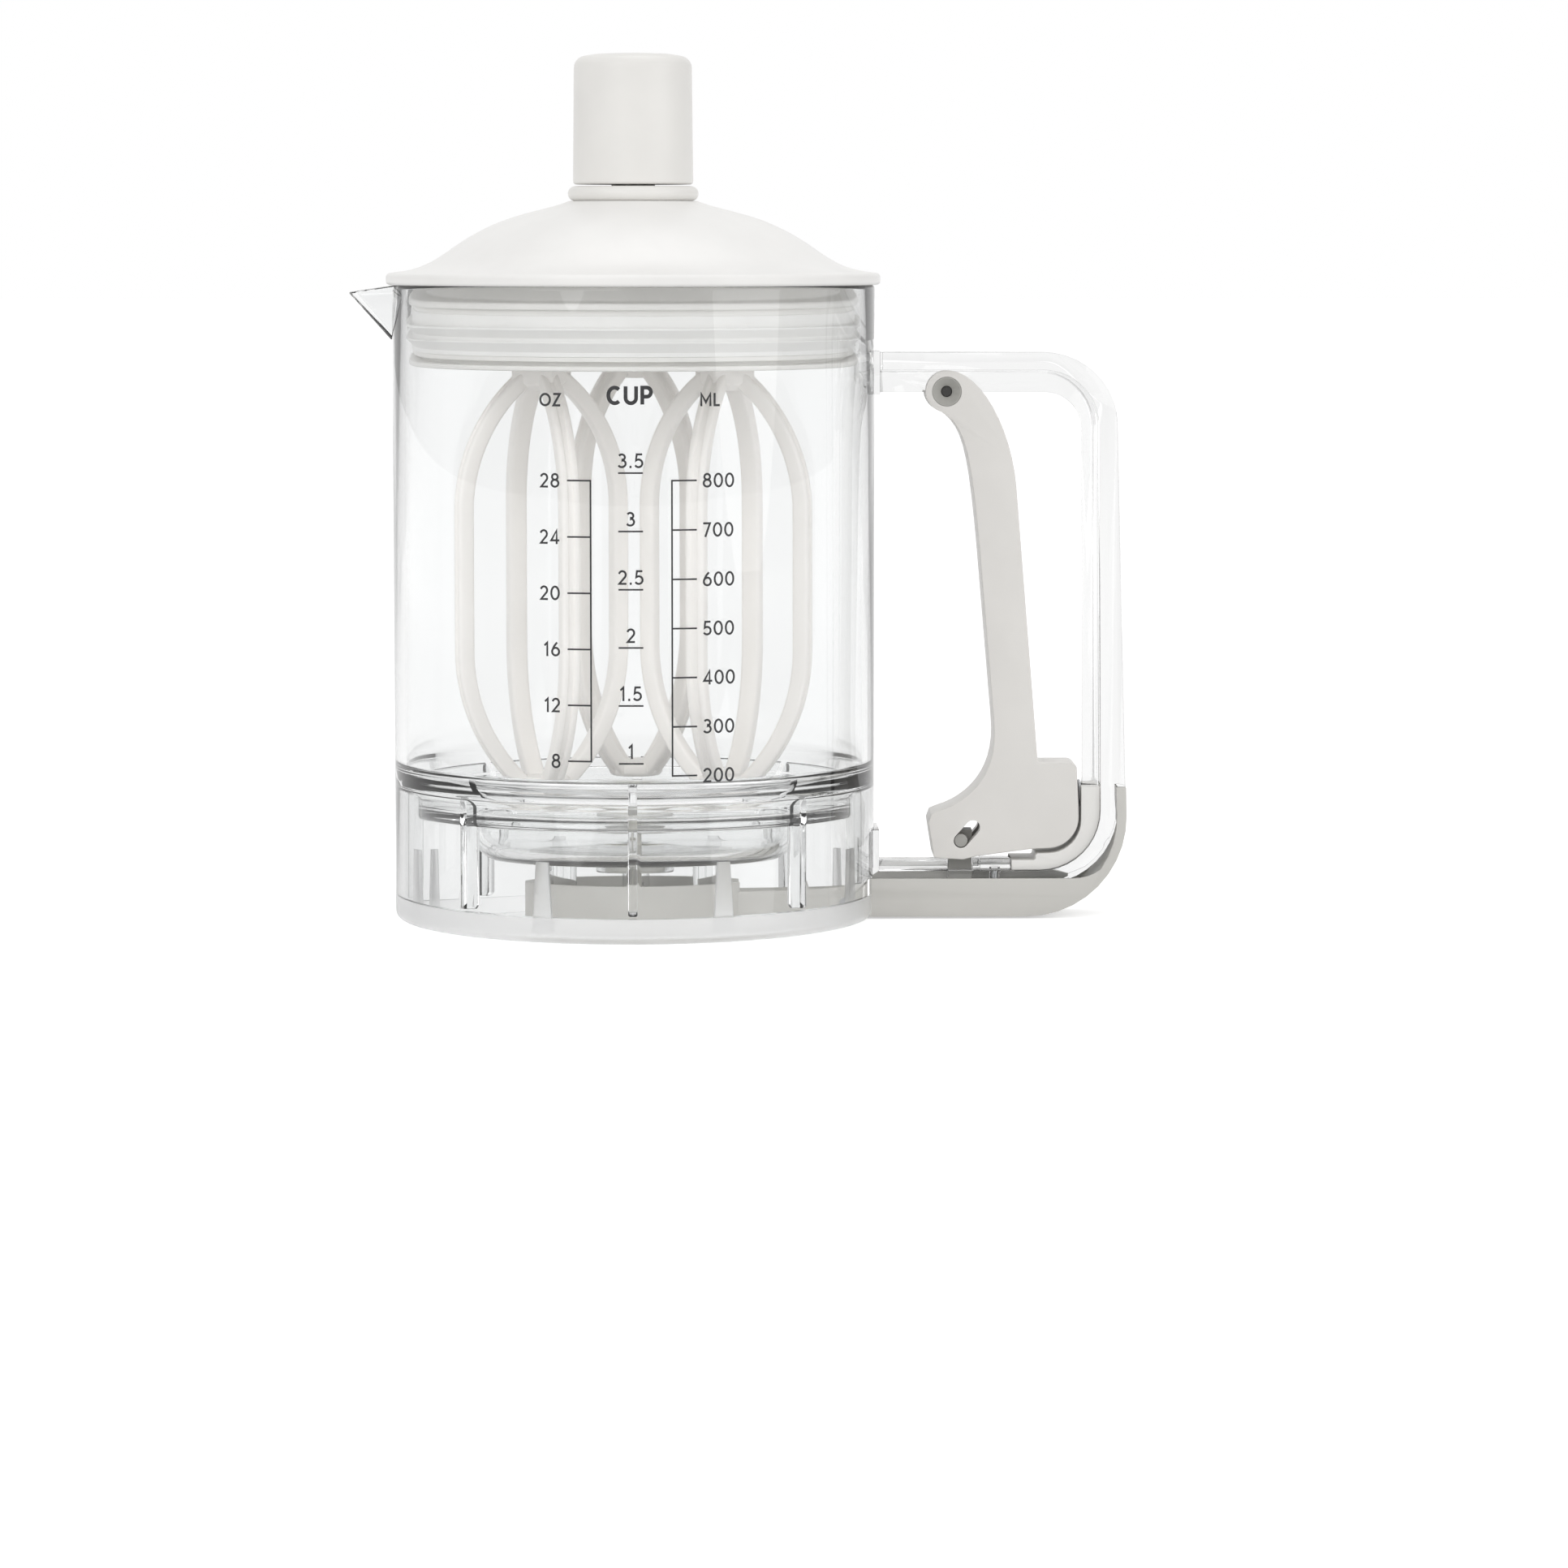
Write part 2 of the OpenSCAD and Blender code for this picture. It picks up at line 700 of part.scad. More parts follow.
module stopper_stem() {
    top = seal_nose_z + seal_h;
    color([0.9, 0.9, 0.88]) union() {
        z_pin(0, 0, fork_z - stem_play - stem_flange_t, top, stem_r);
        z_pin(0, 0, fork_z - stem_play - stem_flange_t, fork_z - stem_play, stem_flange_r);
        z_pin(0, 0, fork_z + stem_play, fork_z + stem_play + stem_flange_t, stem_flange_r);
        z_pin(0, 0, top, top + cap_h, cap_r);
    }
}

module stopper_seal() {
    color([0.8, 0.81, 0.79]) rotate_extrude($fn = fine) polygon([
        [stem_r, seal_nose_z], [seal_nose_r, seal_nose_z],
        [seal_r, seal_nose_z + (seal_r - seal_nose_r) / seal_slope],
        [seal_r, seal_nose_z + seal_h], [stem_r, seal_nose_z + seal_h]]);
}

// ---- Trigger ----

// The lever's side view, from the pivot boss round clockwise. Its top hangs on the pivot,
// its foot on the cam pin and its heel on the handle's back.
module trigger_outline() {
    pivot = [pivot_x, pivot_z];
    cam = [post_x, cam_z];
    function at_cam(x, z, r = 0) = [post_x + x, cam_z + z, r];
    function at_heel(x, z, r = 0) = [heel_x - x, cam_z + z, r];
    polygon(concat(
        curve([pivot + [0.8, trigger_boss_r - 0.07], pivot + [7.7, 4.4], pivot + [14.9, -8],
            pivot + [16.1, -22]], 12),
        rounded([at_cam(16.8, 29.1), at_cam(17.7, 18, 1.2), at_heel(2.2, 18, 1.2),
            at_heel(1.1, 17.3, 0.8), at_heel(0.7, 9.6, 0.6), at_heel(0.4, -1.5, 7.2),
            at_cam(16.7, -1.9), at_cam(3.7, -3.6, 1.5), at_cam(0.5, -4.4, 1.5),
            at_cam(-6.3, -4, 0.8), at_cam(-7.6, 4.3), at_cam(-6.9, 6.3)]),
        curve([cam + [-5.5, 6.9], cam + [2.7, 9.3], cam + [7.7, 15.7], cam + [7.6, 25.1]], 12),
        curve([cam + [7.4, 28.3], pivot + [5.9, -16.6], pivot + [6.2, -9.5],
            pivot + trigger_boss_r * [cos(255), sin(255)]], 14),
        [for (a = [249:-6:84]) pivot + trigger_boss_r * [cos(a), sin(a)]]));
}

module trigger() {
    fork_bottom = pivot_z - lug_r - 1.8;
    color([0.95, 0.95, 0.93]) difference() {
        slab(trigger_w) trigger_outline();
        // the fork's gap, which straddles the handle's web
        slab(2 * fork_half) translate([pivot_x - 2 * trigger_boss_r, fork_bottom])
            square([5 * trigger_boss_r, pivot_z + 2 * trigger_boss_r - fork_bottom]);
        y_pin(pivot_x, pivot_z, pivot_r + running_fit, trigger_w + over);
        for (side = [-1, 1]) translate([0, side * trigger_w / 2, 0])
            y_pin(pivot_x, pivot_z, recess_r, 2 * recess_depth);
        // the cam slot
        slab(trigger_w + over) cam_slot_outline();
        // the pocket for the valve post
        box_between([post_x - post_w / 2 - 0.4, -pocket_half, cam_z - 8],
            [post_x + post_w / 2 + cam_run + 0.5, pocket_half, post_top_z + cam_rise + 0.6]);
        // the spring's pocket
        translate([spring_pocket_x, 0, spring_z]) rotate([0, 90, 0])
            cylinder(h = heel_x - spring_pocket_x, r = spring_pocket_r, $fn = 48);
    }
}

module cam_slot_outline() {
    low = [post_x, cam_z];
    high = cam_high;
    along = (high - low) / norm(high - low);
    side = [-along.y, along.x] * cam_slot_r;
    union() {
        translate(low) circle(r = cam_slot_r, $fn = 48);
        translate(high) circle(r = cam_slot_r, $fn = 48);
        polygon([low + side, low - side, high - side, high + side]);
    }
}

module valve_post() {
    color([0.66, 0.66, 0.64]) difference() {
        union() {
            box_between([post_x - post_w / 2, -post_half, post_foot_z + post_foot_r],
                [post_x + post_w / 2, post_half, post_top_z]);
            y_pin(post_x, post_foot_z + post_foot_r, post_foot_r, 2 * post_half);
        }
        y_pin(post_x, cam_z, cam_pin_r, 2 * post_half + over);
    }
}

module cam_pin() {
    color([0.68, 0.68, 0.66]) y_pin(post_x, cam_z, cam_pin_r, trigger_w - 1.2);
}

// Drawn level and then tilted about its pin
module rocker_lever() {
    color([0.9, 0.9, 0.88]) translate([rocker_x, 0, rocker_z]) rotate([0, rocker_tilt, 0])
    difference() {
        union() {
            box_between([-rocker_x, -rocker_half, -rocker_t / 2],
                [rocker_end_x - rocker_x, rocker_half, rocker_t / 2]);
            z_pin(-rocker_x / cos(rocker_tilt), 0, -rocker_t / 2, rocker_t / 2, fork_r);
            y_pin(0, 0, rocker_boss_r, 2 * rocker_half);
        }
        y_pin(0, 0, rocker_pin_r + running_fit, 3 * rocker_half);
        z_pin(-rocker_x / cos(rocker_tilt), 0, -rocker_t, rocker_t, fork_inner_r);
        box_between([-rocker_x - 2 * fork_r, -fork_inner_r, -rocker_t],
            [-rocker_x, fork_inner_r, rocker_t]);
    }
}

// ---- Lid ----

// A point of the dome: its radius as a share of the lid's, and its drop as a share of the rise
function dome_point(across, down) = [lid_r * across, dome_z - dome_rise * down];

// The dome's outer line from the top of the dome to the rim
function dome_line() =
    let (bend = dome_point(0.669, 0.518))
    concat(
        curve([[collar_r - 0.2, dome_z], [collar_r + 5.5, dome_z - 0.148 * dome_rise],
            dome_point(0.493, 0.148), bend], 10),
        curve([bend, dome_point(0.775, 0.741), dome_point(0.819, 0.951),
            [lid_r - rim_flat_w, rim_top_z]], 8));

module lid_dome() {
    under = [0, -dome_t];
    color([0.96, 0.96, 0.95]) rotate_extrude($fn = fine) polygon(concat(
        [[sleeve_r, dome_z]], dome_line(),
        rounded([[lid_r - rim_flat_w, rim_top_z, 0], [lid_r, rim_top_z - 0.3, 1],
            [lid_r, lid_under_z, 0.8], [dome_inner_r + over, lid_under_z, 0]]),
        [[dome_inner_r, lid_under_z]],
        curve([[dome_inner_r, dome_z - 0.827 * dome_rise] + under, dome_point(0.599, 0.383) + under,
            dome_point(0.4225, 0.173) + under, [sleeve_r, dome_z] + under], 8)));
}

module lid_collar() {
    round_r = collar_h / 2;
    color([0.95, 0.95, 0.94]) difference() {
        union() {
            rotate_extrude($fn = fine) union() {
                translate([0, dome_z]) square([collar_r - round_r, collar_h]);
                translate([collar_r - round_r, dome_z + round_r]) circle(r = round_r, $fn = 32);
            }
            z_pin(0, 0, sleeve_bottom_z, dome_z + over, sleeve_r, fine);
        }
        z_pin(0, 0, sleeve_bottom_z - over, collar_z + over, spindle_r + running_fit, fine);
    }
}

module gear_housing() {
    seal_step = 1;
    color([0.94, 0.94, 0.93]) difference() {
        rotate_extrude($fn = fine) polygon([
            [0, plug_bottom_z], [plug_flange_r, plug_bottom_z],
            [plug_flange_r, plug_bottom_z + plug_flange_t],
            [seal_seat_r, plug_bottom_z + plug_flange_t],
            [seal_seat_r, seal_low_z - seal_step], [plug_body_r, seal_low_z - seal_step],
            [plug_body_r, seal_low_z], [seal_seat_r, seal_low_z],
            [seal_seat_r, seal_high_z], [plug_body_r, seal_high_z],
            [plug_body_r, rim_z - neck_h - plug_top_flange_t],
            [plug_flange_r, rim_z - neck_h - plug_top_flange_t], [plug_flange_r, rim_z - neck_h],
            [neck_r, rim_z - neck_h], [neck_r, lid_under_z], [plug_cavity_r, lid_under_z],
            [plug_cavity_r, plate_top_z], [0, plate_top_z]]);
        for (a = whisk_angles) rotate([0, 0, a])
            z_pin(gear_distance, 0, plug_bottom_z - over, plate_top_z + over, bush_r);
        z_pin(0, 0, plate_top_z - spigot_depth, plate_top_z + over, spigot_r + running_fit);
    }
}

module lid_seal() {
    inner = seal_seat_r;
    skin = plug_body_r + 0.2;
    mid = (seal_low_z + seal_high_z) / 2;
    color([0.84, 0.86, 0.84, 0.85]) rotate_extrude($fn = fine) union() {
        translate([inner, seal_low_z]) square([skin - inner, seal_high_z - seal_low_z]);
        for (z = [seal_low_z + 1.6, mid + 0.1])
            polygon([[skin - 0.3, z - 0.6], [fin_r, z + 2.2 - fin_t / 2], [fin_r, z + 2.2],
                [skin - 0.3, z + fin_t + 0.4]]);
    }
}

module whisk_bushes() {
    color([0.9, 0.9, 0.88]) for (a = whisk_angles) rotate([0, 0, a]) difference() {
        union() {
            z_pin(gear_distance, 0, plug_bottom_z - bush_flange_t, plug_bottom_z, bush_flange_r);
            z_pin(gear_distance, 0, plug_bottom_z - bush_flange_t, bush_top_z, bush_r);
        }
        z_pin(gear_distance, 0, hub_top_z, bush_top_z + over, whisk_spindle_r + running_fit);
    }
}

// ---- Knob and its gear ----

module knob() {
    top = knob_z + knob_h;
    taper = 0.25;
    color([0.96, 0.96, 0.95]) rotate_extrude($fn = fine) polygon(concat(
        rounded([[0, top, 0], [knob_r - taper, top - 1.2, knob_edge_r],
            [knob_r, knob_z, 0.8], [knob_r - knob_wall, knob_z, 0]]),
        [[knob_r - knob_wall, top - 5], [knob_hub_r, top - 5], [knob_hub_r, knob_z],
            [spindle_r, knob_z], [spindle_r, top - 6], [0, top - 6]]));
}

module knob_spindle() {
    color([0.88, 0.88, 0.86]) union() {
        z_pin(0, 0, gear_top_z, clip_z, spindle_r);
        z_pin(0, 0, clip_z - over, clip_z + clip_t + over, clip_groove_r);
        z_pin(0, 0, clip_z + clip_t, knob_z + knob_h - 6, spindle_r);
        z_pin(0, 0, gear_z - 0.6, gear_top_z + over, sun_seat_r);
        z_pin(0, 0, plate_top_z - spigot_depth + 0.3, gear_z, spigot_r);
    }
}

module spindle_clip() {
    color([0.72, 0.73, 0.75]) difference() {
        z_pin(0, 0, clip_z, clip_z + clip_t, clip_r);
        z_pin(0, 0, clip_z - over, clip_z + clip_t + over, clip_groove_r);
        box_between([0, -clip_groove_r * 0.8, clip_z - over],
            [clip_r + over, clip_groove_r * 0.8, clip_z + clip_t + over]);
    }
}

// A gear with straight-sided teeth, one of them centred on +X
module gear(teeth, bore_r) {
    pitch_r = gear_module * teeth / 2;
    difference() {
        linear_extrude(gear_t) union() {
            circle(r = pitch_r - dedendum + 0.05, $fn = fine);
            for (i = [0:teeth - 1]) rotate(i * 360 / teeth) polygon([
                [pitch_r - dedendum - 0.3, -tooth_half - dedendum * tooth_lean],
                [pitch_r, -tooth_half],
                [pitch_r + addendum, -tooth_half + addendum * tooth_lean],
                [pitch_r + addendum, tooth_half - addendum * tooth_lean],
                [pitch_r, tooth_half],
                [pitch_r - dedendum - 0.3, tooth_half + dedendum * tooth_lean]]);
        }
        z_pin(0, 0, -over, gear_t + over, bore_r);
    }
}

module sun_gear() {
    color([0.93, 0.92, 0.88]) translate([0, 0, gear_z]) gear(sun_teeth, sun_seat_r);
}

// A planet's turn that puts a gap where the sun has a tooth
function mesh_turn(a) =
    a + 180 + 360 / planet_teeth * (a * sun_teeth / 360 + 0.5);

module planet_gear(a) {
    color([0.93, 0.92, 0.88]) rotate([0, 0, a]) translate([gear_distance, 0, gear_z])
        rotate([0, 0, mesh_turn(a) - a]) gear(planet_teeth, whisk_spindle_r);
}

// ---- Whisks ----

// Outer and inner arcs of a tine that starts at radius from_r and bulges to the whisk's
// full radius over the height h
function bulge_r(from_r, h) =
    let (side = whisk_r - from_r) (side * side + h * h) / 2 / side;

// Half of the cage's loop, in the plane of its tines
module tine_outline() {
    high_r = bulge_r(root_r, hub_bottom_z - cage_top_z);
    low_r = bulge_r(foot_r, cage_low_z - whisk_bottom_z);
    union() {
        intersection() {
            translate([whisk_r - high_r, cage_top_z]) difference() {
                circle(r = high_r, $fn = 160);
                circle(r = high_r - tine_t, $fn = 160);
            }
            translate([0, cage_top_z]) square([whisk_r, hub_bottom_z + hub_h / 2 - cage_top_z]);
        }
        translate([whisk_r - tine_t, cage_low_z]) square([tine_t, cage_top_z - cage_low_z]);
        intersection() {
            translate([whisk_r - low_r, cage_low_z]) difference() {
                circle(r = low_r, $fn = 160);
                circle(r = low_r - tine_t, $fn = 160);
            }
            translate([0, whisk_bottom_z]) square([whisk_r, cage_low_z - whisk_bottom_z]);
        }
    }
}

module whisk(i) {
    color([0.86, 0.85, 0.83]) rotate([0, 0, whisk_angles[i]]) translate([gear_distance, 0, 0])
        rotate([0, 0, whisk_turns[i] - whisk_angles[i]]) difference() {
            union() {
                for (a = [0:90:270]) rotate([0, 0, a + 45]) slab(tine_w) tine_outline();
                box_between([-hub_side / 2, -hub_side / 2, hub_bottom_z],
                    [hub_side / 2, hub_side / 2, hub_top_z]);
                z_pin(0, 0, whisk_bottom_z, whisk_bottom_z + foot_disc_h, foot_disc_r);
            }
            z_pin(0, 0, whisk_spindle_bottom_z, hub_top_z + over, whisk_spindle_r);
        }
}

module whisk_spindle(a) {
    color([0.88, 0.88, 0.86]) rotate([0, 0, a])
        z_pin(gear_distance, 0, whisk_spindle_bottom_z, gear_top_z + 0.8, whisk_spindle_r);
}

module whisk_left() { whisk(0); }
module whisk_right() { whisk(1); }
module whisk_back() { whisk(2); }
module whisk_spindle_left() { whisk_spindle(whisk_angles[0]); }
module whisk_spindle_right() { whisk_spindle(whisk_angles[1]); }
module whisk_spindle_back() { whisk_spindle(whisk_angles[2]); }
module planet_gear_left() { planet_gear(whisk_angles[0]); }
module planet_gear_right() { planet_gear(whisk_angles[1]); }
module planet_gear_back() { planet_gear(whisk_angles[2]); }

beaker();
beaker_floor();
foot_ring();
handle_frame();
handle_base();
spring_bracket();
base_screws();
outlet_seat();
rocker_pin();
pivot_pin();
return_spring();
trigger();
valve_post();
cam_pin();
rocker_lever();
stopper_stem();
stopper_seal();
lid_dome();
lid_collar();
gear_housing();
lid_seal();
whisk_bushes();
knob();
knob_spindle();
sun_gear();
spindle_clip();
whisk_left();
whisk_right();
whisk_back();
whisk_spindle_left();
whisk_spindle_right();
whisk_spindle_back();
planet_gear_left();
planet_gear_right();
planet_gear_back();
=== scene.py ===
"""Batter dispenser: a clear beaker with geared whisks under its lid and a trigger in its
handle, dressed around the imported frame. Lengths in the code are millimetres."""

import math

import bmesh
import bpy
from mathutils import Matrix, Vector

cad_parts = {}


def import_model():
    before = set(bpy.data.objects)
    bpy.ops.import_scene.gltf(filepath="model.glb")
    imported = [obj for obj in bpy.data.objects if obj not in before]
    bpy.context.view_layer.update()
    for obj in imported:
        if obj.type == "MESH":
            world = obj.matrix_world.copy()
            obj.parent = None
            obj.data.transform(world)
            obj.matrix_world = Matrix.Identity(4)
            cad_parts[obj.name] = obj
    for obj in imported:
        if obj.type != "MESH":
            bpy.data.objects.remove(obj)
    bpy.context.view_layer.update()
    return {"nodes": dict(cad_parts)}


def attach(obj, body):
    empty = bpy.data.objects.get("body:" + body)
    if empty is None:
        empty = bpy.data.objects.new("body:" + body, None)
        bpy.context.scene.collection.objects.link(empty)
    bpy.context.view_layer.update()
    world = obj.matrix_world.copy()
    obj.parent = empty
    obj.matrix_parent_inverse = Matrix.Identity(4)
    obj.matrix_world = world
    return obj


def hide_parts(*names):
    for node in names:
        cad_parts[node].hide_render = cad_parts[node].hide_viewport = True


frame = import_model()

MM = 0.001
TURN = 2 * math.pi

# Sizes shared with the solids
WALL_R = 55.5
BORE_R = 52.9
RIM_Z = 146.0
DOME_Z = 165.1
COLLAR_R = 15.0
COLLAR_H = 3.4
KNOB_Z = 168.9
KNOB_TOP = 198.9
KNOB_R = 13.8
PLUG_Z = 127.2
PLUG_BORE_R = 44.5
SPINDLE_BORE_R = 5.05
WHISK_AXIS_R = 24.1
WHISK_R = 20.3
WHISK_FOOT_Z = 30.6
HUB_TOP = 125.4
HUB_BOTTOM = 121.5
HUB_SIDE = 10.4


# ---- Shaders ----

class Number:
    """A value in a material. Arithmetic on it adds Math nodes."""

    def __init__(self, recipe, socket):
        self.recipe = recipe
        self.socket = socket

    def maths(self, operation, *values):
        return self.recipe.node("ShaderNodeMath", {"operation": operation}, *values)

    def __add__(self, other):
        return self.maths("ADD", self, other)

    __radd__ = __add__

    def __sub__(self, other):
        return self.maths("SUBTRACT", self, other)

    def __rsub__(self, other):
        return self.maths("SUBTRACT", other, self)

    def __mul__(self, other):
        return self.maths("MULTIPLY", self, other)

    __rmul__ = __mul__

    def at_least(self, other):
        return self.maths("MAXIMUM", self, other)

    def size(self):
        return self.maths("ABSOLUTE", self)

    def between(self, low, high):
        """0 below low, 1 above high, with a smooth step from one to the other."""
        return self.recipe.node(
            "ShaderNodeMapRange", {"interpolation_type": "SMOOTHSTEP"}, self, low, high, 0.0, 1.0)


class Recipe:
    """Builds one node tree: node() takes a type, its settings and what its sockets get."""

    def __init__(self, tree):
        self.tree = tree
        tree.nodes.clear()

    def node(self, kind, settings=None, *values, output=0, **named):
        made = self.tree.nodes.new(kind)
        for key, value in (settings or {}).items():
            setattr(made, key, value)
        for slot, value in [*enumerate(values), *named.items()]:
            key = slot if isinstance(slot, int) else slot.replace("_", " ")
            if isinstance(value, Number):
                self.tree.links.new(value.socket, made.inputs[key])
            elif value is not None:
                made.inputs[key].default_value = value
        return Number(self, made.outputs[output]) if made.outputs else None

    def place(self):
        """Where a point lies on the object."""
        return self.node("ShaderNodeTexCoord", None, output="Object")

    def noise(self, scale, detail=3.0, rough=0.5, along=None):
        """Cloudy noise on the object, or along a stretched or squeezed place."""
        return self.node("ShaderNodeTexNoise", None, Vector=along or self.place(), Scale=scale,
                         Detail=detail, Roughness=rough)

    def stretched(self, scale):
        return self.node("ShaderNodeMapping", None, Vector=self.place(), Scale=scale)

    def blend(self, factor, first, second):
        """Mixes two colours. Sockets 1 to 5 of a Mix node are for numbers and vectors."""
        return self.node("ShaderNodeMix", {"data_type": "RGBA"}, factor, *[None] * 5,
                         (*first, 1), (*second, 1), output=2)

    def bump(self, strength, distance, height):
        return self.node("ShaderNodeBump", None, Strength=strength, Distance=distance,
                         Height=height)

    def axis(self, vector, name):
        return self.node("ShaderNodeSeparateXYZ", None, vector, output=name)

    def path(self, output):
        return self.node("ShaderNodeLightPath", None, output=output)

    def surface(self, shader):
        self.node("ShaderNodeOutputMaterial", None, Surface=shader)


def new_material(name):
    made = bpy.data.materials.new(name)
    made.use_nodes = True
    return made, Recipe(made.node_tree)


def moulded(name, colour, rough=0.36, grain=0.12):
    """Moulded plastic: a fine spark-eroded grain, slow changes of gloss and of colour."""
    tint, flow_gloss, speck_gloss = 0.02, 0.12, 0.1
    made, r = new_material(name)
    cloud = r.noise(scale=38.0, detail=4.0)
    speck = r.noise(scale=2600.0, detail=2.0, rough=0.6)
    flow = r.noise(scale=210.0)
    low = tuple(c * (1 - tint) for c in colour)
    high = tuple(min(1.0, c * (1 + tint)) for c in colour)
    paint = r.blend(cloud.between(0.35, 0.65), low, high)
    gloss = rough + (flow - 0.5) * flow_gloss + (speck - 0.5) * speck_gloss
    r.surface(r.node("ShaderNodeBsdfPrincipled", None, Base_Color=paint, Roughness=gloss,
                     Normal=r.bump(grain, 0.00002, speck), IOR=1.5))
    return made


def clear(name, colour, rough, haze, shade):
    """Clear styrene: polished, with faint streaks from the mould and from wiping. A wall
    of it takes only a little, shade, of the light that falls through it."""
    made, r = new_material(name)
    streak = r.noise(scale=420.0, along=r.stretched((1.0, 1.0, 0.08)))
    cloud = r.noise(scale=60.0)
    gloss = rough + streak.between(0.55, 0.8) * haze + cloud.between(0.5, 0.8) * haze * 0.6
    shadow = r.path("Is Shadow Ray")
    r.surface(r.node("ShaderNodeBsdfPrincipled", None, Base_Color=(*colour, 1),
                     Roughness=gloss, Normal=r.bump(0.04, 0.00004, cloud), IOR=1.49,
                     Transmission_Weight=1.0, Alpha=1.0 - shadow * (1.0 - shade)))
    return made


def soft_seal(name, colour):
    """Silicone: slow changes of colour, with dust that dulls its gloss."""
    made, r = new_material(name)
    dust = r.noise(scale=900.0)
    cloud = r.noise(scale=45.0)
    paint = r.blend(cloud.between(0.3, 0.7), tuple(c * 0.96 for c in colour), colour)
    gloss = 0.34 + dust.between(0.4, 0.8) * 0.16
    r.surface(r.node("ShaderNodeBsdfPrincipled", None, Base_Color=paint, Roughness=gloss,
                     Normal=r.bump(0.1, 0.00003, dust), IOR=1.41))
    return made


def turned_steel(name):
    """Drawn steel, with fine lines along Y, as its pins lie."""
    made, r = new_material(name)
    lines = r.noise(scale=5200.0, detail=2.0, along=r.stretched((1.0, 0.05, 1.0)))
    paint = r.blend(lines, (0.5, 0.51, 0.53), (0.74, 0.75, 0.77))
    r.surface(r.node("ShaderNodeBsdfPrincipled", None, Base_Color=paint,
                     Roughness=0.24 + lines * 0.16, Metallic=1.0))
    return made


def ink(name):
    """Dark printing ink, a little uneven."""
    made, r = new_material(name)
    speck = r.noise(scale=1800.0, detail=2.0)
    paint = r.blend(speck.between(0.3, 0.7), (0.018, 0.018, 0.02), (0.035, 0.035, 0.038))
    r.surface(r.node("ShaderNodeBsdfPrincipled", None, Base_Color=paint,
                     Roughness=0.42 + speck * 0.12))
    return made


CLEAR = clear("clear_styrene", (0.95, 0.955, 0.955), rough=0.015, haze=0.03, shade=0.04)
# Painted shade: the handle's styrene is tinted darker than the beaker's, standing in for the
# darker refraction its bars show.
CLEAR_BAR_PAINTED_SHADE = clear("clear_handle_styrene_painted_shade", (0.92, 0.922, 0.92), rough=0.015, haze=0.03, shade=0.06)
# Painted shade: dark glass on the handle's bevels draws the grey lines that refraction shows
# along the bar's edges.
CLEAR_EDGE_PAINTED_SHADE = clear("clear_edge_painted_shade", (0.4, 0.4, 0.4), rough=0.08, haze=0.03, shade=0.06)
FROSTED = clear("frosted_styrene", (0.99, 0.992, 0.992), rough=0.42, haze=0.06, shade=0.14)
LID_WHITE = moulded("lid_white", (0.85, 0.842, 0.825), rough=0.38)
# Painted shade: the knob and collar take a darker white than the lid, for the shade on their
# upright sides.
KNOB_WHITE_PAINTED_SHADE = moulded("knob_white_painted_shade", (0.8, 0.787, 0.76), rough=0.4)
# Painted shade: the channel is the trigger's plastic, made darker for the shade that falls on it
# low down.
BASE_WHITE_PAINTED_SHADE = moulded("handle_white_painted_shade", (0.59, 0.58, 0.55), rough=0.42)
BRACKET_WHITE = moulded("bracket_white", (0.8, 0.79, 0.765), rough=0.38)
TRIGGER_WHITE = moulded("trigger_white", (0.73, 0.713, 0.685), rough=0.38)
PLUG_WHITE = moulded("plug_white", (0.8, 0.79, 0.765), rough=0.42)
WHISK_GREY = moulded("whisk_grey", (0.95, 0.925, 0.895), rough=0.46, grain=0.18)
IVORY = moulded("gear_ivory", (0.8, 0.79, 0.74), rough=0.45)
POST_GREY = moulded("post_grey", (0.36, 0.355, 0.335), rough=0.42)
SEAL = soft_seal("silicone_seal", (0.87, 0.865, 0.85))
# Partly painted shade: the pivot cup is grey plastic, made darker still for the shade deep in the
# ear's recess.
CUP_GREY_AND_PAINTED_SHADE = moulded("cup_grey_and_painted_shade", (0.4, 0.395, 0.37), rough=0.4)
# Painted shade: the pivot pin is near black to stand for the dark hole at the pivot's centre.
PIN_PAINTED_SHADE = moulded("pin_painted_shade", (0.035, 0.034, 0.032), rough=0.25)
STEEL = turned_steel("drawn_steel")
INK = ink("scale_ink")


# ---- Mesh helpers ----

SHARP_ANGLE = math.radians(30)
MERGE_DISTANCE = 0.0015 * MM


def corner_arc(before, at, after, r, steps):
    """Points on the arc of radius r that rounds the corner at one point of an outline."""
    a = (before - at).normalized()
    b = (after - at).normalized()
    half = a.angle(b) / 2
    centre = at + (a + b).normalized() * r / math.sin(half)
    start = at + a * r / math.tan(half) - centre
    end = at + b * r / math.tan(half) - centre
    turn = math.atan2(start.x * end.y - start.y * end.x, start.dot(end))
    return [centre + Matrix.Rotation(turn * i / steps, 2) @ start for i in range(steps + 1)]


def rounded(corners, steps=6):
    """Corners (x, z, radius) to points; a corner without a radius stays sharp."""
    points = [Vector(c[:2]) for c in corners]
    made = []
    for i, corner in enumerate(corners):
        radius = corner[2] if len(corner) > 2 else 0
        if radius:
            made += corner_arc(points[i - 1], points[i], points[(i + 1) % len(points)],
                               radius, steps)
        else:
            made.append(points[i])
    return made


def curve(p, steps):
    """Points on the cubic curve that four control points give."""
    made = []
    for i in range(steps + 1):
        t = i / steps
        s = 1 - t
        made.append(Vector(p[0]) * s ** 3 + Vector(p[1]) * 3 * t * s * s
                    + Vector(p[2]) * 3 * t * t * s + Vector(p[3]) * t ** 3)
    return made


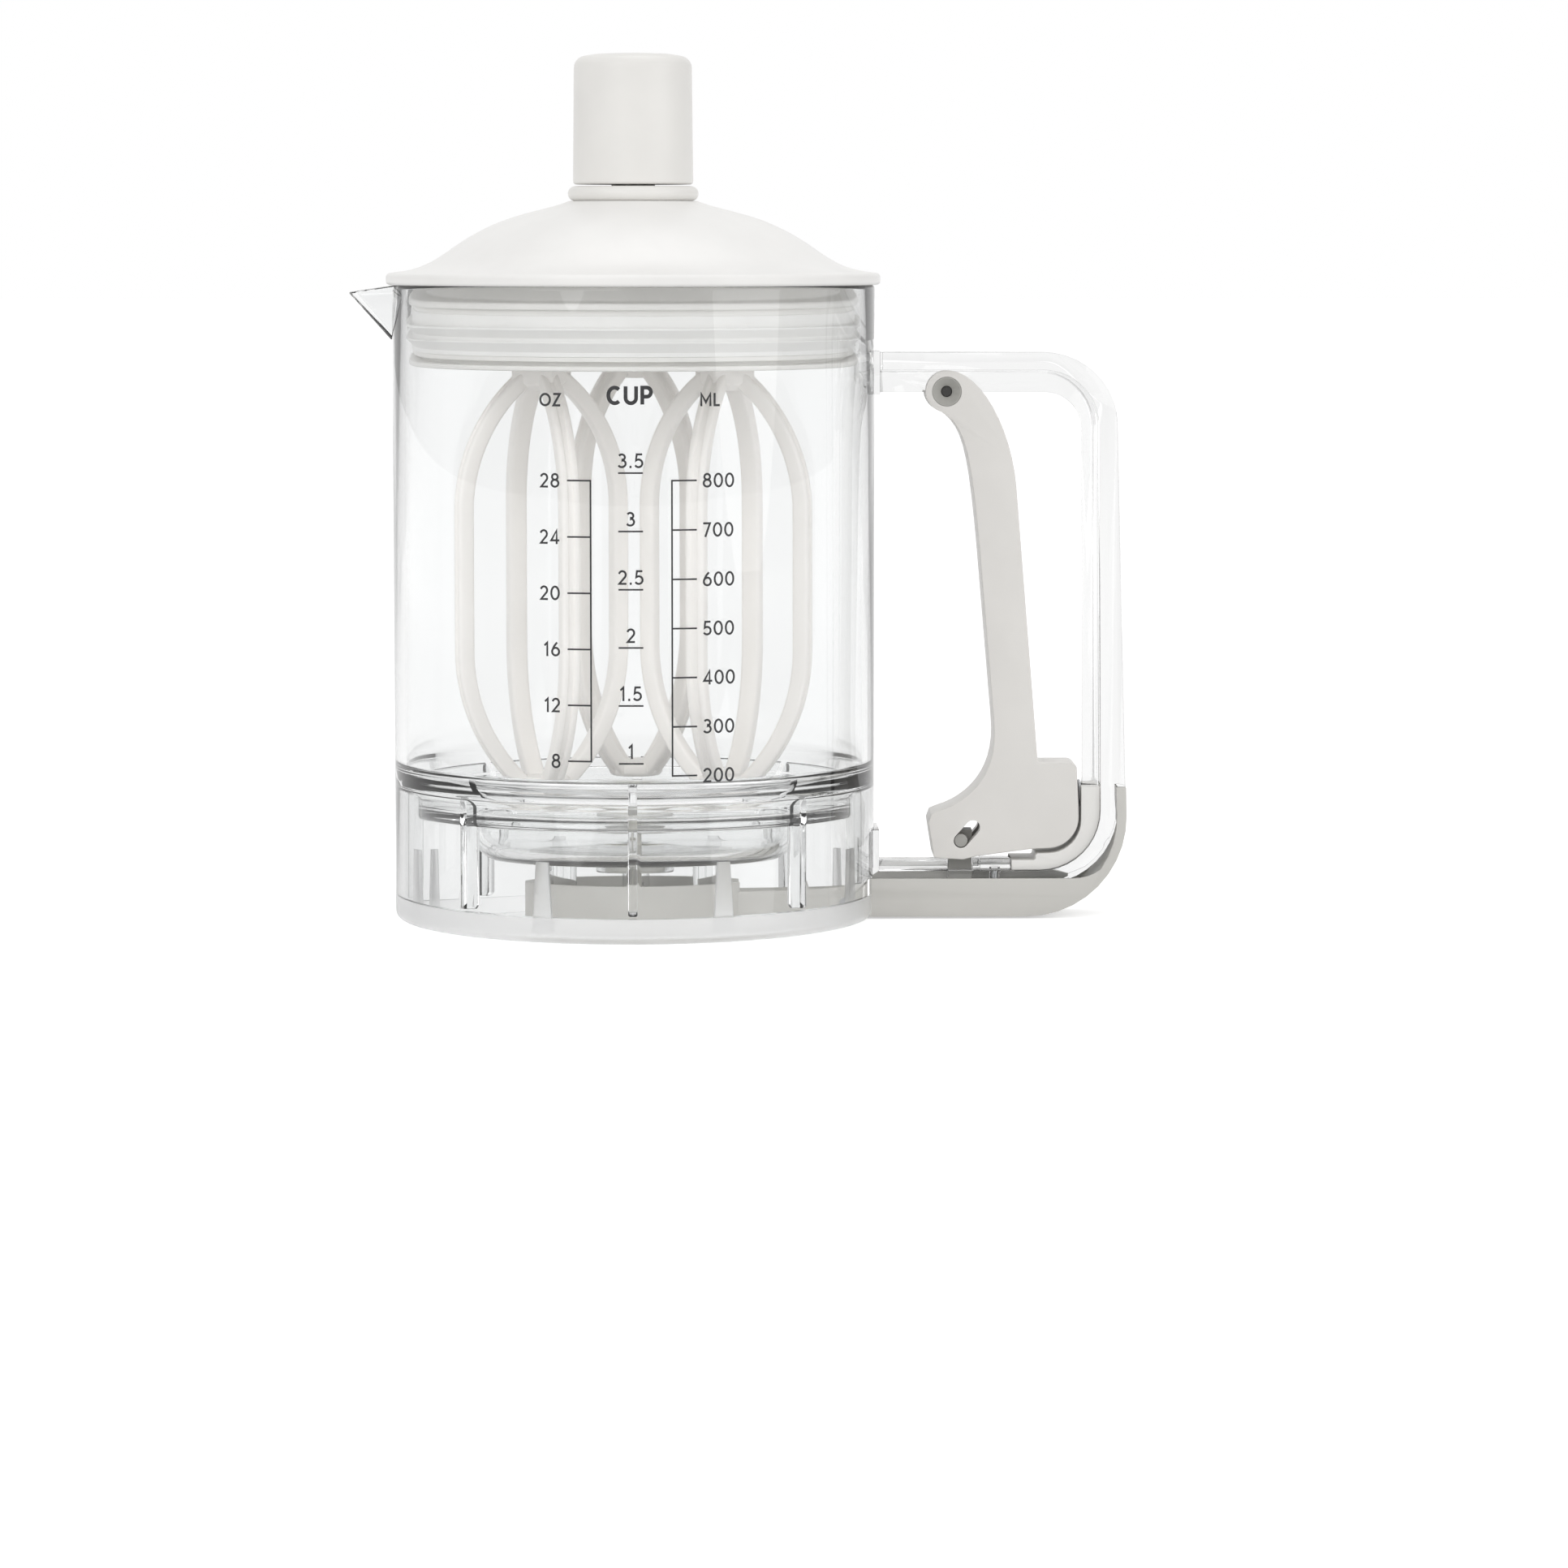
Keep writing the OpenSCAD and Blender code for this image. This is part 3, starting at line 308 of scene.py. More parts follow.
def spun(profile, steps):
    """A closed (radius, height) outline spun about the upright axis."""
    bm = bmesh.new()
    verts = [bm.verts.new((p[0] * MM, 0, p[1] * MM)) for p in profile]
    edges = [bm.edges.new((verts[i - 1], verts[i])) for i in range(len(verts))]
    bmesh.ops.spin(bm, geom=verts + edges, cent=(0, 0, 0), axis=(0, 0, 1), angle=TURN,
                   steps=steps, use_merge=True)
    return bm


def swept(section, frames):
    """A closed section carried through 4x4 frames, with both ends filled."""
    bm = bmesh.new()
    verts = [bm.verts.new(frames[0] @ Vector((u * MM, v * MM, 0))) for u, v in section]
    edges = [bm.edges.new((verts[i - 1], verts[i])) for i in range(len(verts))]
    bmesh.ops.contextual_create(bm, geom=edges)
    last = frames[0]
    for place in frames[1:]:
        grown = bmesh.ops.extrude_edge_only(bm, edges=edges)["geom"]
        ring = [g for g in grown if isinstance(g, bmesh.types.BMVert)]
        edges = [g for g in grown if isinstance(g, bmesh.types.BMEdge)
                 and all(v in ring for v in g.verts)]
        bmesh.ops.transform(bm, matrix=place @ last.inverted(), verts=ring)
        last = place
    bmesh.ops.contextual_create(bm, geom=edges)
    return bm


def add(bm, other):
    """Moves the second mesh's shapes into the first."""
    spare = bpy.data.meshes.new("spare")
    other.to_mesh(spare)
    other.free()
    bm.from_mesh(spare)
    bpy.data.meshes.remove(spare)
    return bm


def combined(bm, tool, operation):
    """The first mesh joined with the second, or cut by it."""
    holders = []
    for name, part in (("work", bm), ("tool", tool)):
        bmesh.ops.recalc_face_normals(part, faces=part.faces)
        if part.calc_volume(signed=True) < 0:
            bmesh.ops.reverse_faces(part, faces=part.faces)
        mesh = bpy.data.meshes.new(name)
        part.to_mesh(mesh)
        part.free()
        holders.append(bpy.data.objects.new(name, mesh))
        bpy.context.scene.collection.objects.link(holders[-1])
    work, tool = holders
    step = work.modifiers.new("combine", "BOOLEAN")
    step.object = tool
    step.operation = operation
    step.solver = "EXACT"
    made = bmesh.new()
    made.from_object(work, bpy.context.evaluated_depsgraph_get())
    for holder in holders:
        mesh = holder.data
        bpy.data.objects.remove(holder)
        bpy.data.meshes.remove(mesh)
    return made


def hull_of_discs(discs, edge):
    """The tight skin round upright discs (x, y, low, high, radius) with rounded edges."""
    bm = bmesh.new()
    for x, y, low, high, radius in discs:
        for degrees in (0, 30, 60, 90):
            turn = math.radians(degrees)
            inset = edge * (1 - math.cos(turn))
            drop = edge * (1 - math.sin(turn))
            for z in (low + drop, high - drop):
                place = Matrix.Translation((x * MM, y * MM, z * MM))
                bmesh.ops.create_circle(bm, segments=32, radius=(radius - inset) * MM,
                                        matrix=place)
    made = bmesh.ops.convex_hull(bm, input=bm.verts)
    spare = {v for v in made["geom_interior"] if isinstance(v, bmesh.types.BMVert)}
    bmesh.ops.delete(bm, geom=list(spare), context="VERTS")
    return bm


def plate(outline, thickness, round_off):
    """An (x, z) outline as an upright plate centred on Y = 0, its edges rounded."""
    bm = bmesh.new()
    verts = [bm.verts.new((p[0] * MM, -thickness / 2 * MM, p[1] * MM)) for p in outline]
    face = bm.faces.new(verts)
    grown = bmesh.ops.extrude_face_region(bm, geom=[face])["geom"]
    far = [g for g in grown if isinstance(g, bmesh.types.BMVert)]
    bmesh.ops.translate(bm, verts=far, vec=(0, thickness * MM, 0))
    bmesh.ops.recalc_face_normals(bm, faces=bm.faces)
    return soften(bm, round_off)


def block(x0, x1, y0, y1, z0, z1):
    """A box between two values on each axis."""
    bm = bmesh.new()
    bmesh.ops.create_cube(bm, size=1.0)
    bmesh.ops.scale(bm, verts=bm.verts, vec=((x1 - x0) * MM, (y1 - y0) * MM, (z1 - z0) * MM))
    return moved(bm, (x0 + x1) / 2, (y0 + y1) / 2, (z0 + z1) / 2)


def moved(bm, x, y, z):
    bmesh.ops.translate(bm, verts=bm.verts, vec=(x * MM, y * MM, z * MM))
    return bm


def turned_by(bm, degrees):
    """Turns a shape about the upright axis."""
    bmesh.ops.rotate(bm, cent=(0, 0, 0), matrix=Matrix.Rotation(math.radians(degrees), 3, "Z"),
                     verts=bm.verts)
    return bm


def soften(bm, offset, segments=2, keep=None, edging=False):
    """Bevels the sharp edges, or those of them that keep() picks; edging gives the new
    faces the second material."""
    sharp = [e for e in bm.edges if len(e.link_faces) == 2
             and e.calc_face_angle(0) > SHARP_ANGLE and (keep is None or keep(e))]
    made = bmesh.ops.bevel(bm, geom=sharp, offset=offset * MM, offset_type="OFFSET",
                           segments=segments, profile=0.5, affect="EDGES", material=-1,
                           clamp_overlap=True)
    if edging:
        for face in made["faces"]:
            face.material_index = 1
    return bm


def finish_piece(name, bm, material, body, replaces=(), crease=32, edging=None):
    """Makes a mesh an object on its body, shaded flat only across edges past the crease."""
    bmesh.ops.remove_doubles(bm, verts=bm.verts, dist=MERGE_DISTANCE)
    bmesh.ops.recalc_face_normals(bm, faces=bm.faces)
    for face in bm.faces:
        face.smooth = True
    for edge in bm.edges:
        edge.smooth = edge.calc_face_angle(0) < math.radians(crease)
    mesh = bpy.data.meshes.new(name)
    bm.to_mesh(mesh)
    bm.free()
    mesh.materials.append(material)
    if edging:
        mesh.materials.append(edging)
    made = bpy.data.objects.new(name, mesh)
    bpy.context.scene.collection.objects.link(made)
    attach(made, body)
    if replaces:
        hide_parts(*replaces)


def merged_copy(node):
    """A CAD node's shape as one connected mesh with flat faces joined."""
    bm = bmesh.new()
    bm.from_mesh(frame["nodes"][node].data)
    bmesh.ops.remove_doubles(bm, verts=bm.verts, dist=0.002 * MM)
    bmesh.ops.dissolve_limit(bm, angle_limit=math.radians(0.4), verts=bm.verts,
                             edges=bm.edges)
    return bm


def paint_node(node, material):
    mesh = frame["nodes"][node].data
    mesh.materials.clear()
    mesh.materials.append(material)


# ---- Beaker ----

TRIGGER_HALF_W = 7.0
PIVOT = Vector((71.9, 121.6))
EAR_R = 5.4
EAR_RECESS_R = 3.9
SLOT_MIDDLE = Vector((76.3, 19.4))
SLOT_REACH = 5.5
FLOOR_Z = 36.3
FLOOR_DROP = 5.7
FLOOR_T = 2.4
STEP_R = 47.6
LEDGE_Z = 27.4
BOWL_R = 35.4
BOWL_Z = 18.6
TUBE_R = 7.0
TUBE_T = 2
TUBE_END_Z = 13.7
FOOT_TOP_Z = 5.7
RIM_EDGE = 0.9
SPOUT_ROOT_R = BORE_R + 1.3
SPOUT_REACH = 6.0
SPOUT_T = 1.6
RIB_COUNT = 8
RIB_T = 2.0
RIB_DEPTH = 3.9
RIB_CHAMFER = 1
BOSS_ANGLES = (90, 210, 330)
BOSS_PLACE_R = 19
BOSS_R = 3.2
SCREW_HOLE_R = 1.25
ARM_GATE = (44.9, 56.5, -9.6, 9.6, 0, 9.6)
WALL_STEPS = 192


def beaker_outline():
    """Half of the beaker cut through its axis: wall, sloped floor, step, bowl and tube."""
    slope_end = FLOOR_Z - FLOOR_DROP
    under = BOWL_Z - FLOOR_T
    ledge_under = LEDGE_Z - FLOOR_T
    tube_out = TUBE_R + TUBE_T
    bowl_out = BOWL_R + FLOOR_T
    step_out = STEP_R + FLOOR_T
    return rounded([
        (WALL_R, FOOT_TOP_Z, 0.3), (WALL_R, RIM_Z, RIM_EDGE), (BORE_R, RIM_Z, RIM_EDGE),
        (BORE_R, FLOOR_Z, 1.6), (STEP_R, slope_end, 0.9), (STEP_R, LEDGE_Z, 1.2),
        (BOWL_R, LEDGE_Z, 1.0), (BOWL_R, BOWL_Z, 5.0), (TUBE_R, BOWL_Z, 0.2),
        (TUBE_R, TUBE_END_Z, 0.4), (tube_out, TUBE_END_Z, 0.4), (tube_out, under, 0.5),
        (bowl_out, under, 7.4), (bowl_out, ledge_under, 0.8), (step_out, ledge_under, 1.0),
        (step_out, slope_end - 1.0, 0.5), (BORE_R, FLOOR_Z - 3.84, 0.8),
        (BORE_R, FOOT_TOP_Z, 0.3)], 6)


def spout_form(grown):
    """The pouring channel, or with its skin grown the spout's outside: a disc at the tip,
    one at each side of the root and one below, all wrapped in one skin."""
    side_x = 2.4 - SPOUT_ROOT_R
    side_y = 8
    below_x = 0.6 - SPOUT_ROOT_R
    return hull_of_discs([
        (-WALL_R - SPOUT_REACH, 0, RIM_Z - 2.2, RIM_Z - 1.6, 2.2 + grown),
        (side_x, side_y, RIM_Z - 1, RIM_Z, 1 + grown),
        (side_x, -side_y, RIM_Z - 1, RIM_Z, 1 + grown),
        (below_x, 0, RIM_Z - 12.6, RIM_Z - 12.0, 0.8 + grown)], 0.3)


def skirt_rib():
    """An upright rib in the skirt, let into the wall and chamfered at its foot."""
    low = 6.3
    inner = BORE_R - RIB_DEPTH
    in_wall = BORE_R + 1
    outline = rounded([(inner, low + RIB_CHAMFER), (inner + RIB_CHAMFER, low), (in_wall, low),
                       (in_wall, FLOOR_Z - 2.34), (inner, FLOOR_Z - FLOOR_DROP)])
    return plate(outline, RIB_T, 0.35)


def drum(radius, low, high, steps):
    return spun([(0, low), (radius, low), (radius, high), (0, high)], steps)


def at_each_boss(bm, radius, low, high, steps):
    """Adds an upright drum at the place of each screw boss."""
    for angle in BOSS_ANGLES:
        add(bm, turned_by(moved(drum(radius, low, high, steps), BOSS_PLACE_R, 0, 0), angle))


def beaker_shell():
    bm = spun(beaker_outline(), WALL_STEPS)
    inside = drum(SPOUT_ROOT_R, low=120, high=160, steps=WALL_STEPS)
    lip = combined(spout_form(SPOUT_T), inside, "DIFFERENCE")
    bm = combined(bm, lip, "UNION")
    channel = moved(spout_form(0.0), 0, 0, 0.5)
    bm = combined(bm, channel, "DIFFERENCE")
    ribs = bmesh.new()
    for i in range(RIB_COUNT):
        add(ribs, turned_by(skirt_rib(), i * 360 / RIB_COUNT))
    at_each_boss(ribs, BOSS_R, low=2.5, high=17.4, steps=32)
    bm = combined(bm, ribs, "UNION")
    cuts = block(*ARM_GATE)
    at_each_boss(cuts, SCREW_HOLE_R, low=1.5, high=10.5, steps=24)
    bm = combined(bm, cuts, "DIFFERENCE")
    finish_piece("beaker_shell", bm, CLEAR, "beaker_assembly",
                 ("beaker", "beaker_floor"), 28)


beaker_shell()
finish_piece("foot_band", soften(merged_copy("foot_ring"), 0.25), FROSTED,
             "beaker_assembly", ("foot_ring",))
# The bevels get the dark edge glass: painted shade for the refraction lines along the bar's
# edges.
finish_piece("clear_handle", soften(merged_copy("handle_frame"), 0.45, 3, edging=True),
             CLEAR_BAR_PAINTED_SHADE, "beaker_assembly", ("handle_frame",),
             edging=CLEAR_EDGE_PAINTED_SHADE)
# The channel's darker white is painted shade.
finish_piece("handle_channel", soften(merged_copy("handle_base"), 0.35, 2), BASE_WHITE_PAINTED_SHADE,
             "beaker_assembly", ("handle_base",))
finish_piece("heel_bracket", soften(merged_copy("spring_bracket"), 0.5, 3), BRACKET_WHITE,
             "beaker_assembly", ("spring_bracket",))


# ---- Trigger ----

def on_side(edge):
    """True for an edge that lies in one of the lever's two flat sides."""
    depth = max(abs(abs(v.co.y) - TRIGGER_HALF_W * MM) for v in edge.verts)
    return depth < 0.1 * MM


def distances(edge, centre):
    """How far the edge's two ends lie from a point, seen from the side, in millimetres."""
    return [(v.co.xz - centre * MM).length / MM for v in edge.verts]


def on_outline(edge):
    """True for the lever's long outer edges, which are rounded more than its slots."""
    return (on_side(edge) and min(distances(edge, PIVOT)) > EAR_R
            and min(distances(edge, SLOT_MIDDLE)) > SLOT_REACH)


def on_ear(edge):
    """True for the outer edges of the round ears at the pivot."""
    reach = distances(edge, PIVOT)
    return on_side(edge) and min(reach) > EAR_RECESS_R and max(reach) < EAR_R


def pivot_cup(name, side):
    """A funnel in the ear round the pivot's end, open to one side. Its grey is partly painted
    shade for the recess.
    """
    mouth = TRIGGER_HALF_W - 0.1
    throat, end = mouth - 1.5, mouth - 2.3
    throat_r, mouth_r, out_r = 1.3, 3.1, 3.36
    cup = spun(rounded([(throat_r, end), (out_r, end), (out_r, mouth, 0.1),
                        (mouth_r, mouth, 0.1), (throat_r, throat, 0.2)], 4), 64)
    bmesh.ops.rotate(cup, cent=(0, 0, 0), verts=cup.verts,
                     matrix=Matrix.Rotation(math.radians(side * -90), 3, "X"))
    moved(cup, PIVOT.x, 0, PIVOT.y)
    finish_piece("pivot_cup_" + name, cup, CUP_GREY_AND_PAINTED_SHADE, "trigger_lever")


lever = soften(merged_copy("trigger"), 1.1, 4, keep=on_outline)
finish_piece("trigger_lever", soften(lever, 0.3, 2, keep=on_ear), TRIGGER_WHITE,
             "trigger_lever", ("trigger",))
pivot_cup("front", -1)
pivot_cup("back", 1)


# ---- Inner pieces that keep the solids' own shape ----

# The pivot pin's near black is painted shade for the dark hole at the pivot's centre.
for node, material in (("base_screws", STEEL), ("outlet_seat", IVORY), ("rocker_pin", STEEL),
                       ("pivot_pin", PIN_PAINTED_SHADE), ("return_spring", STEEL),
                       ("valve_post", POST_GREY), ("cam_pin", POST_GREY),
                       ("rocker_lever", IVORY), ("stopper_stem", IVORY),
                       ("stopper_seal", SEAL), ("whisk_bushes", PLUG_WHITE),
                       ("knob_spindle", IVORY), ("sun_gear", IVORY), ("spindle_clip", STEEL)):
    paint_node(node, material)
for side in ("left", "right", "back"):
    paint_node("planet_gear_" + side, IVORY)
    paint_node("whisk_spindle_" + side, IVORY)


# ---- Scale printed on the wall ----

INK_T = 0.04
INK_GAP = 0.02
LINE_HALF_W = 0.19
DIGIT_H = 3.26
HEADING_Z = 121.2


def wrap_on_wall(bm):
    """Bends a flat print, x across and y up, round the front of the wall."""
    for vert in bm.verts:
        turn = vert.co.x / (WALL_R * MM)
        reach = (WALL_R + INK_GAP) * MM + vert.co.z
        vert.co = (reach * math.sin(turn), -reach * math.cos(turn), vert.co.y)


def arc(x, z, rx, rz, start, end, steps=12):
    """Points along part of an ellipse, from one angle in degrees to another."""
    turns = [math.radians(start + (end - start) * i / steps) for i in range(steps + 1)]
    return [(x + rx * math.cos(t), z + rz * math.sin(t)) for t in turns]


# Each sign is its width and the lines down the middle of its strokes, for a height of 1
SIGNS = {
    "0": (0.68, [arc(0.34, 0.5, 0.27, 0.43, 90, 450, 28)]),
    "1": (0.36, [[(0.02, 0.73), (0.22, 0.93), (0.22, 0.0)]]),
    "2": (0.62, [[*arc(0.3, 0.68, 0.23, 0.25, 165, -35), (0.09, 0.07), (0.58, 0.07)]]),
    "3": (0.63, [[*arc(0.29, 0.735, 0.21, 0.195, 150, -90),
                  *arc(0.29, 0.305, 0.26, 0.235, 90, -150)]]),
    "4": (0.68, [[(0.66, 0.25), (0.08, 0.25), (0.47, 0.93), (0.47, 0.0)]]),
    "5": (0.62, [[(0.54, 0.93), (0.17, 0.93), (0.12, 0.52),
                  *arc(0.29, 0.325, 0.26, 0.26, 125, -150)]]),
    "6": (0.64, [arc(0.32, 0.325, 0.25, 0.26, 90, 450, 24),
                 [(0.1, 0.44), (0.22, 0.7), (0.43, 0.95)]]),
    "7": (0.58, [[(0.03, 0.93), (0.51, 0.93), (0.18, 0.0)]]),
    "8": (0.64, [arc(0.32, 0.735, 0.2, 0.195, 90, 450, 20),
                 arc(0.32, 0.305, 0.25, 0.235, 90, 450, 24)]),
    ".": (0.22, [[(0.11, 0.0), (0.11, 0.16)]]),
    "C": (0.78, [arc(0.42, 0.5, 0.35, 0.43, 48, 312, 20)]),
    "L": (0.54, [[(0.1, 1.0), (0.1, 0.07), (0.52, 0.07)]]),
    "M": (0.92, [[(0.1, 0.0), (0.1, 0.93), (0.46, 0.3), (0.82, 0.93), (0.82, 0.0)]]),
    "O": (0.92, [arc(0.46, 0.5, 0.39, 0.43, 90, 450, 28)]),
    "P": (0.66, [[(0.1, 0.0), (0.1, 0.93), (0.34, 0.93),
                  *arc(0.34, 0.68, 0.24, 0.25, 80, -90), (0.1, 0.43)]]),
    "U": (0.78, [[(0.1, 1.0), (0.1, 0.38), *arc(0.39, 0.36, 0.29, 0.29, 180, 360),
                  (0.68, 1.0)]]),
    "Z": (0.66, [[(0.06, 0.93), (0.58, 0.93), (0.08, 0.07), (0.62, 0.07)]]),
}
SIGN_GAP = 0.14


def stroke(bm, points, width):
    """One printed stroke: a flat ribbon along its line, mitred at the bends."""
    longest_mitre = 0.45
    line = [Vector(p) for p in points]
    closed = (line[0] - line[-1]).length < width * 0.01
    if closed:
        line = line[:-1]
    count = len(line)
    rails = []
    for i, at in enumerate(line):
        ahead = line[(i + 1) % count] - at if closed or i < count - 1 else None
        behind = at - line[i - 1] if closed or i else None
        ways = [w.normalized() for w in (behind, ahead) if w is not None]
        middle = sum(ways, Vector((0, 0))).normalized()
        side = Vector((-middle.y, middle.x))
        bend = side.dot(Vector((-ways[0].y, ways[0].x)))
        reach = width / 2 / max(longest_mitre, bend)
        rails.append([bm.verts.new((*(at + side * reach * way), 0)) for way in (1, -1)])
    for i in range(count if closed else count - 1):
        (a, b), (c, d) = rails[i], rails[(i + 1) % count]
        bm.faces.new((a, b, d, c))


def print_text(words, x, z, height, align="CENTER", weight=0.14):
    """Signs set side by side, their strokes as wide as a share of the height."""
    bm = bmesh.new()
    length = sum(SIGNS[sign][0] for sign in words) + SIGN_GAP * (len(words) - 1)
    start = {"LEFT": 0.0, "CENTER": -length / 2, "RIGHT": -length}[align]
    for sign in words:
        width, lines = SIGNS[sign]
        for points in lines:
            place = [((x + (start + u) * height) * MM, (z + (v - 0.5) * height) * MM)
                     for u, v in points]
            stroke(bm, place, weight * height * MM)
        start += width + SIGN_GAP
    grown = bmesh.ops.extrude_face_region(bm, geom=bm.faces)["geom"]
    top = [g for g in grown if isinstance(g, bmesh.types.BMVert)]
    bmesh.ops.translate(bm, verts=top, vec=(0, 0, INK_T * MM))
    return bm


def print_bar(x0, x1, z0, z1):
    return block(x0, x1, z0, z1, 0, INK_T)


def print_row(bm, labels, top, step, line_x, mark_x, text_x, align):
    """A ruled column: one upright line, a mark to one side at each step, and its number."""
    bottom = top - (len(labels) - 1) * step
    add(bm, print_bar(line_x - LINE_HALF_W, line_x + LINE_HALF_W, bottom - LINE_HALF_W,
                      top + LINE_HALF_W))
    for i, label in enumerate(labels):
        z = top - i * step
        add(bm, print_bar(min(line_x, mark_x), max(line_x, mark_x), z - LINE_HALF_W,
                          z + LINE_HALF_W))
        add(bm, print_text(label, text_x, z, DIGIT_H, align))


def print_scale():
    """Ounces, cups and millilitres: each a row of marks with its numbers."""
    top = 103.4
    bm = print_text("OZ", x=-18.3, z=HEADING_Z, height=2.9, weight=0.17)
    add(bm, print_text("CUP", x=-0.35, z=122.2, height=4.0, weight=0.21))
    add(bm, print_text("ML", x=17.65, z=HEADING_Z, height=2.9, weight=0.17))
    print_row(bm, ("28", "24", "20", "16", "12", "8"), top, step=12.46, line_x=-9.13,
              mark_x=-14.44, text_x=-16.2, align="RIGHT")
    print_row(bm, [str(volume) for volume in range(800, 199, -100)], top, step=10.92,
              line_x=8.93, mark_x=14.53, text_x=15.9, align="LEFT")
    cups_top, cups_step = 105.1, 12.89
    for i, label in enumerate(("3.5", "3", "2.5", "2", "1.5", "1")):
        z = cups_top - i * cups_step
        add(bm, print_bar(-2.98, 2.5, z - LINE_HALF_W, z + LINE_HALF_W))
        add(bm, print_text(label, -0.24, z + 2.72, DIGIT_H))
    wrap_on_wall(bm)
    finish_piece("printed_scale", bm, INK, "beaker_assembly")


print_scale()


# ---- Lid ----

LID_R = 56.8
LID_EDGE_Z = 148.6
DOME_HOLE_R = 8.0
SHOULDER = (38, DOME_Z - 8.4)
SKIRT_END_R = 54.4


def lid_dome():
    """The lid's shell: a crown, a hollow flank, a rounded rim and a hollow underside."""
    seat_r = 46.4
    crown = curve([(COLLAR_R - 0.2, DOME_Z), (20.5, DOME_Z - 2.4), (28, DOME_Z - 2.4),
                   SHOULDER], 16)
    flank = curve([SHOULDER, (44, DOME_Z - 12), (46.5, DOME_Z - 15.4),
                   (SKIRT_END_R, DOME_Z - 16.2)], 12)
    rim = rounded([(SKIRT_END_R, DOME_Z - 16.2), (LID_R, LID_EDGE_Z, 1.1),
                   (LID_R, RIM_Z, 0.8), (seat_r, RIM_Z)], 6)
    inside = curve([(PLUG_BORE_R, 149.3), (34, 156.5), (24, 159.9), (DOME_HOLE_R, 162.7)], 12)
    profile = [(DOME_HOLE_R, DOME_Z), *crown, *flank[1:], *rim[1:], (PLUG_BORE_R, RIM_Z),
               *inside]
    finish_piece("lid_cap", spun(profile, 192), LID_WHITE, "lid",
                 ("lid_dome",))


def lid_collar():
    """The ring under the knob, with the tube that holds the knob's spindle."""
    top, edge, tube_low = DOME_Z + COLLAR_H, 1.69, 150.0
    ring = rounded([(SPINDLE_BORE_R, DOME_Z), (COLLAR_R, DOME_Z, edge), (COLLAR_R, top, edge),
                    (SPINDLE_BORE_R, top)], 8)
    tube = [(SPINDLE_BORE_R, tube_low), (DOME_HOLE_R, tube_low), (DOME_HOLE_R, DOME_Z)]
    finish_piece("lid_ring", spun([*tube, *ring[1:]], 128), KNOB_WHITE_PAINTED_SHADE, "lid",
                 ("lid_collar",))


PLUG_FLANGE_R = 52.0
PLUG_BODY_R = 51.0
SEAL_SEAT_R = 49.5
SEAL_LOW_Z = 130.2
SEAL_TOP_Z = 139.4


def plug():
    """The plug: a cup with a flange at each end and a groove for its seal."""
    flange_low, flange_high, neck_z, neck_r = 128.3, 140.6, 142.2, 47.5
    profile = rounded([
        (0.0, PLUG_Z), (PLUG_FLANGE_R, PLUG_Z, 0.35), (PLUG_FLANGE_R, flange_low, 0.35),
        (SEAL_SEAT_R, flange_low), (SEAL_SEAT_R, 129.2), (PLUG_BODY_R, 129.2, 0.2),
        (PLUG_BODY_R, SEAL_LOW_Z), (SEAL_SEAT_R, SEAL_LOW_Z), (SEAL_SEAT_R, SEAL_TOP_Z),
        (PLUG_BODY_R, SEAL_TOP_Z), (PLUG_BODY_R, flange_high),
        (PLUG_FLANGE_R, flange_high, 0.4), (PLUG_FLANGE_R, neck_z, 0.6), (neck_r, neck_z, 0.5),
        (neck_r, RIM_Z), (PLUG_BORE_R, RIM_Z), (PLUG_BORE_R, SEAL_LOW_Z, 1.0),
        (0.0, SEAL_LOW_Z)], 4)
    finish_piece("lid_plug", spun(profile, 160), PLUG_WHITE, "lid",
                 ("gear_housing",))


def plug_seal():
    """The seal: a sleeve with two fins that slope up and out to the beaker's wall."""
    skin_r, fin_r = 51.2, 52.65
    profile = rounded([
        (SEAL_SEAT_R, SEAL_LOW_Z), (skin_r, SEAL_LOW_Z, 0.3), (skin_r, 131.3, 0.3),
        (fin_r, 133.4, 0.3), (fin_r, 134.0, 0.25), (skin_r, 132.6, 0.3),
        (skin_r, 134.4, 0.3), (fin_r, 136.3, 0.3), (fin_r, 137.1, 0.25),
        (skin_r, 135.7, 0.3), (skin_r, SEAL_TOP_Z, 0.3), (SEAL_SEAT_R, SEAL_TOP_Z)], 4)
    finish_piece("plug_seal", spun(profile, 160), SEAL, "lid", ("lid_seal",))


lid_dome()
lid_collar()
plug()
plug_seal()


# ---- Knob ----

def knob():
    """A hollow cap with a low crown, and the socket inside it that holds the spindle."""
    shell_r, socket_r, spindle_r = 11.4, 7.6, 5.0
    roof, socket_end = KNOB_TOP - 5, KNOB_TOP - 6
    profile = rounded([
        (0.0, KNOB_TOP), (9.0, KNOB_TOP - 0.35, 20.0), (KNOB_R - 0.3, KNOB_TOP - 1.2, 2.8),
        (KNOB_R, KNOB_Z, 0.7), (shell_r, KNOB_Z, 0.3), (shell_r, roof, 1.5),
        (socket_r, roof, 0.5), (socket_r, KNOB_Z, 0.3), (spindle_r, KNOB_Z),
        (spindle_r, socket_end), (0.0, socket_end)], 8)
    finish_piece("turning_knob", spun(profile, 128), KNOB_WHITE_PAINTED_SHADE, "turning_knob",
                 ("knob",))


knob()


# ---- Whisks ----

TINE_W = 4.4
TINE_T = 3.6
HIGH_BEND_H = 27.4
LOW_BEND_H = 32
BEND_STEPS = 18
STRAIGHT_STEPS = 5


def bulge(from_r, height):
    """The radius of the arc that goes from from_r out to the whisk's side over a height."""
    side = WHISK_R - from_r
    return (side * side + height * height) / 2 / side


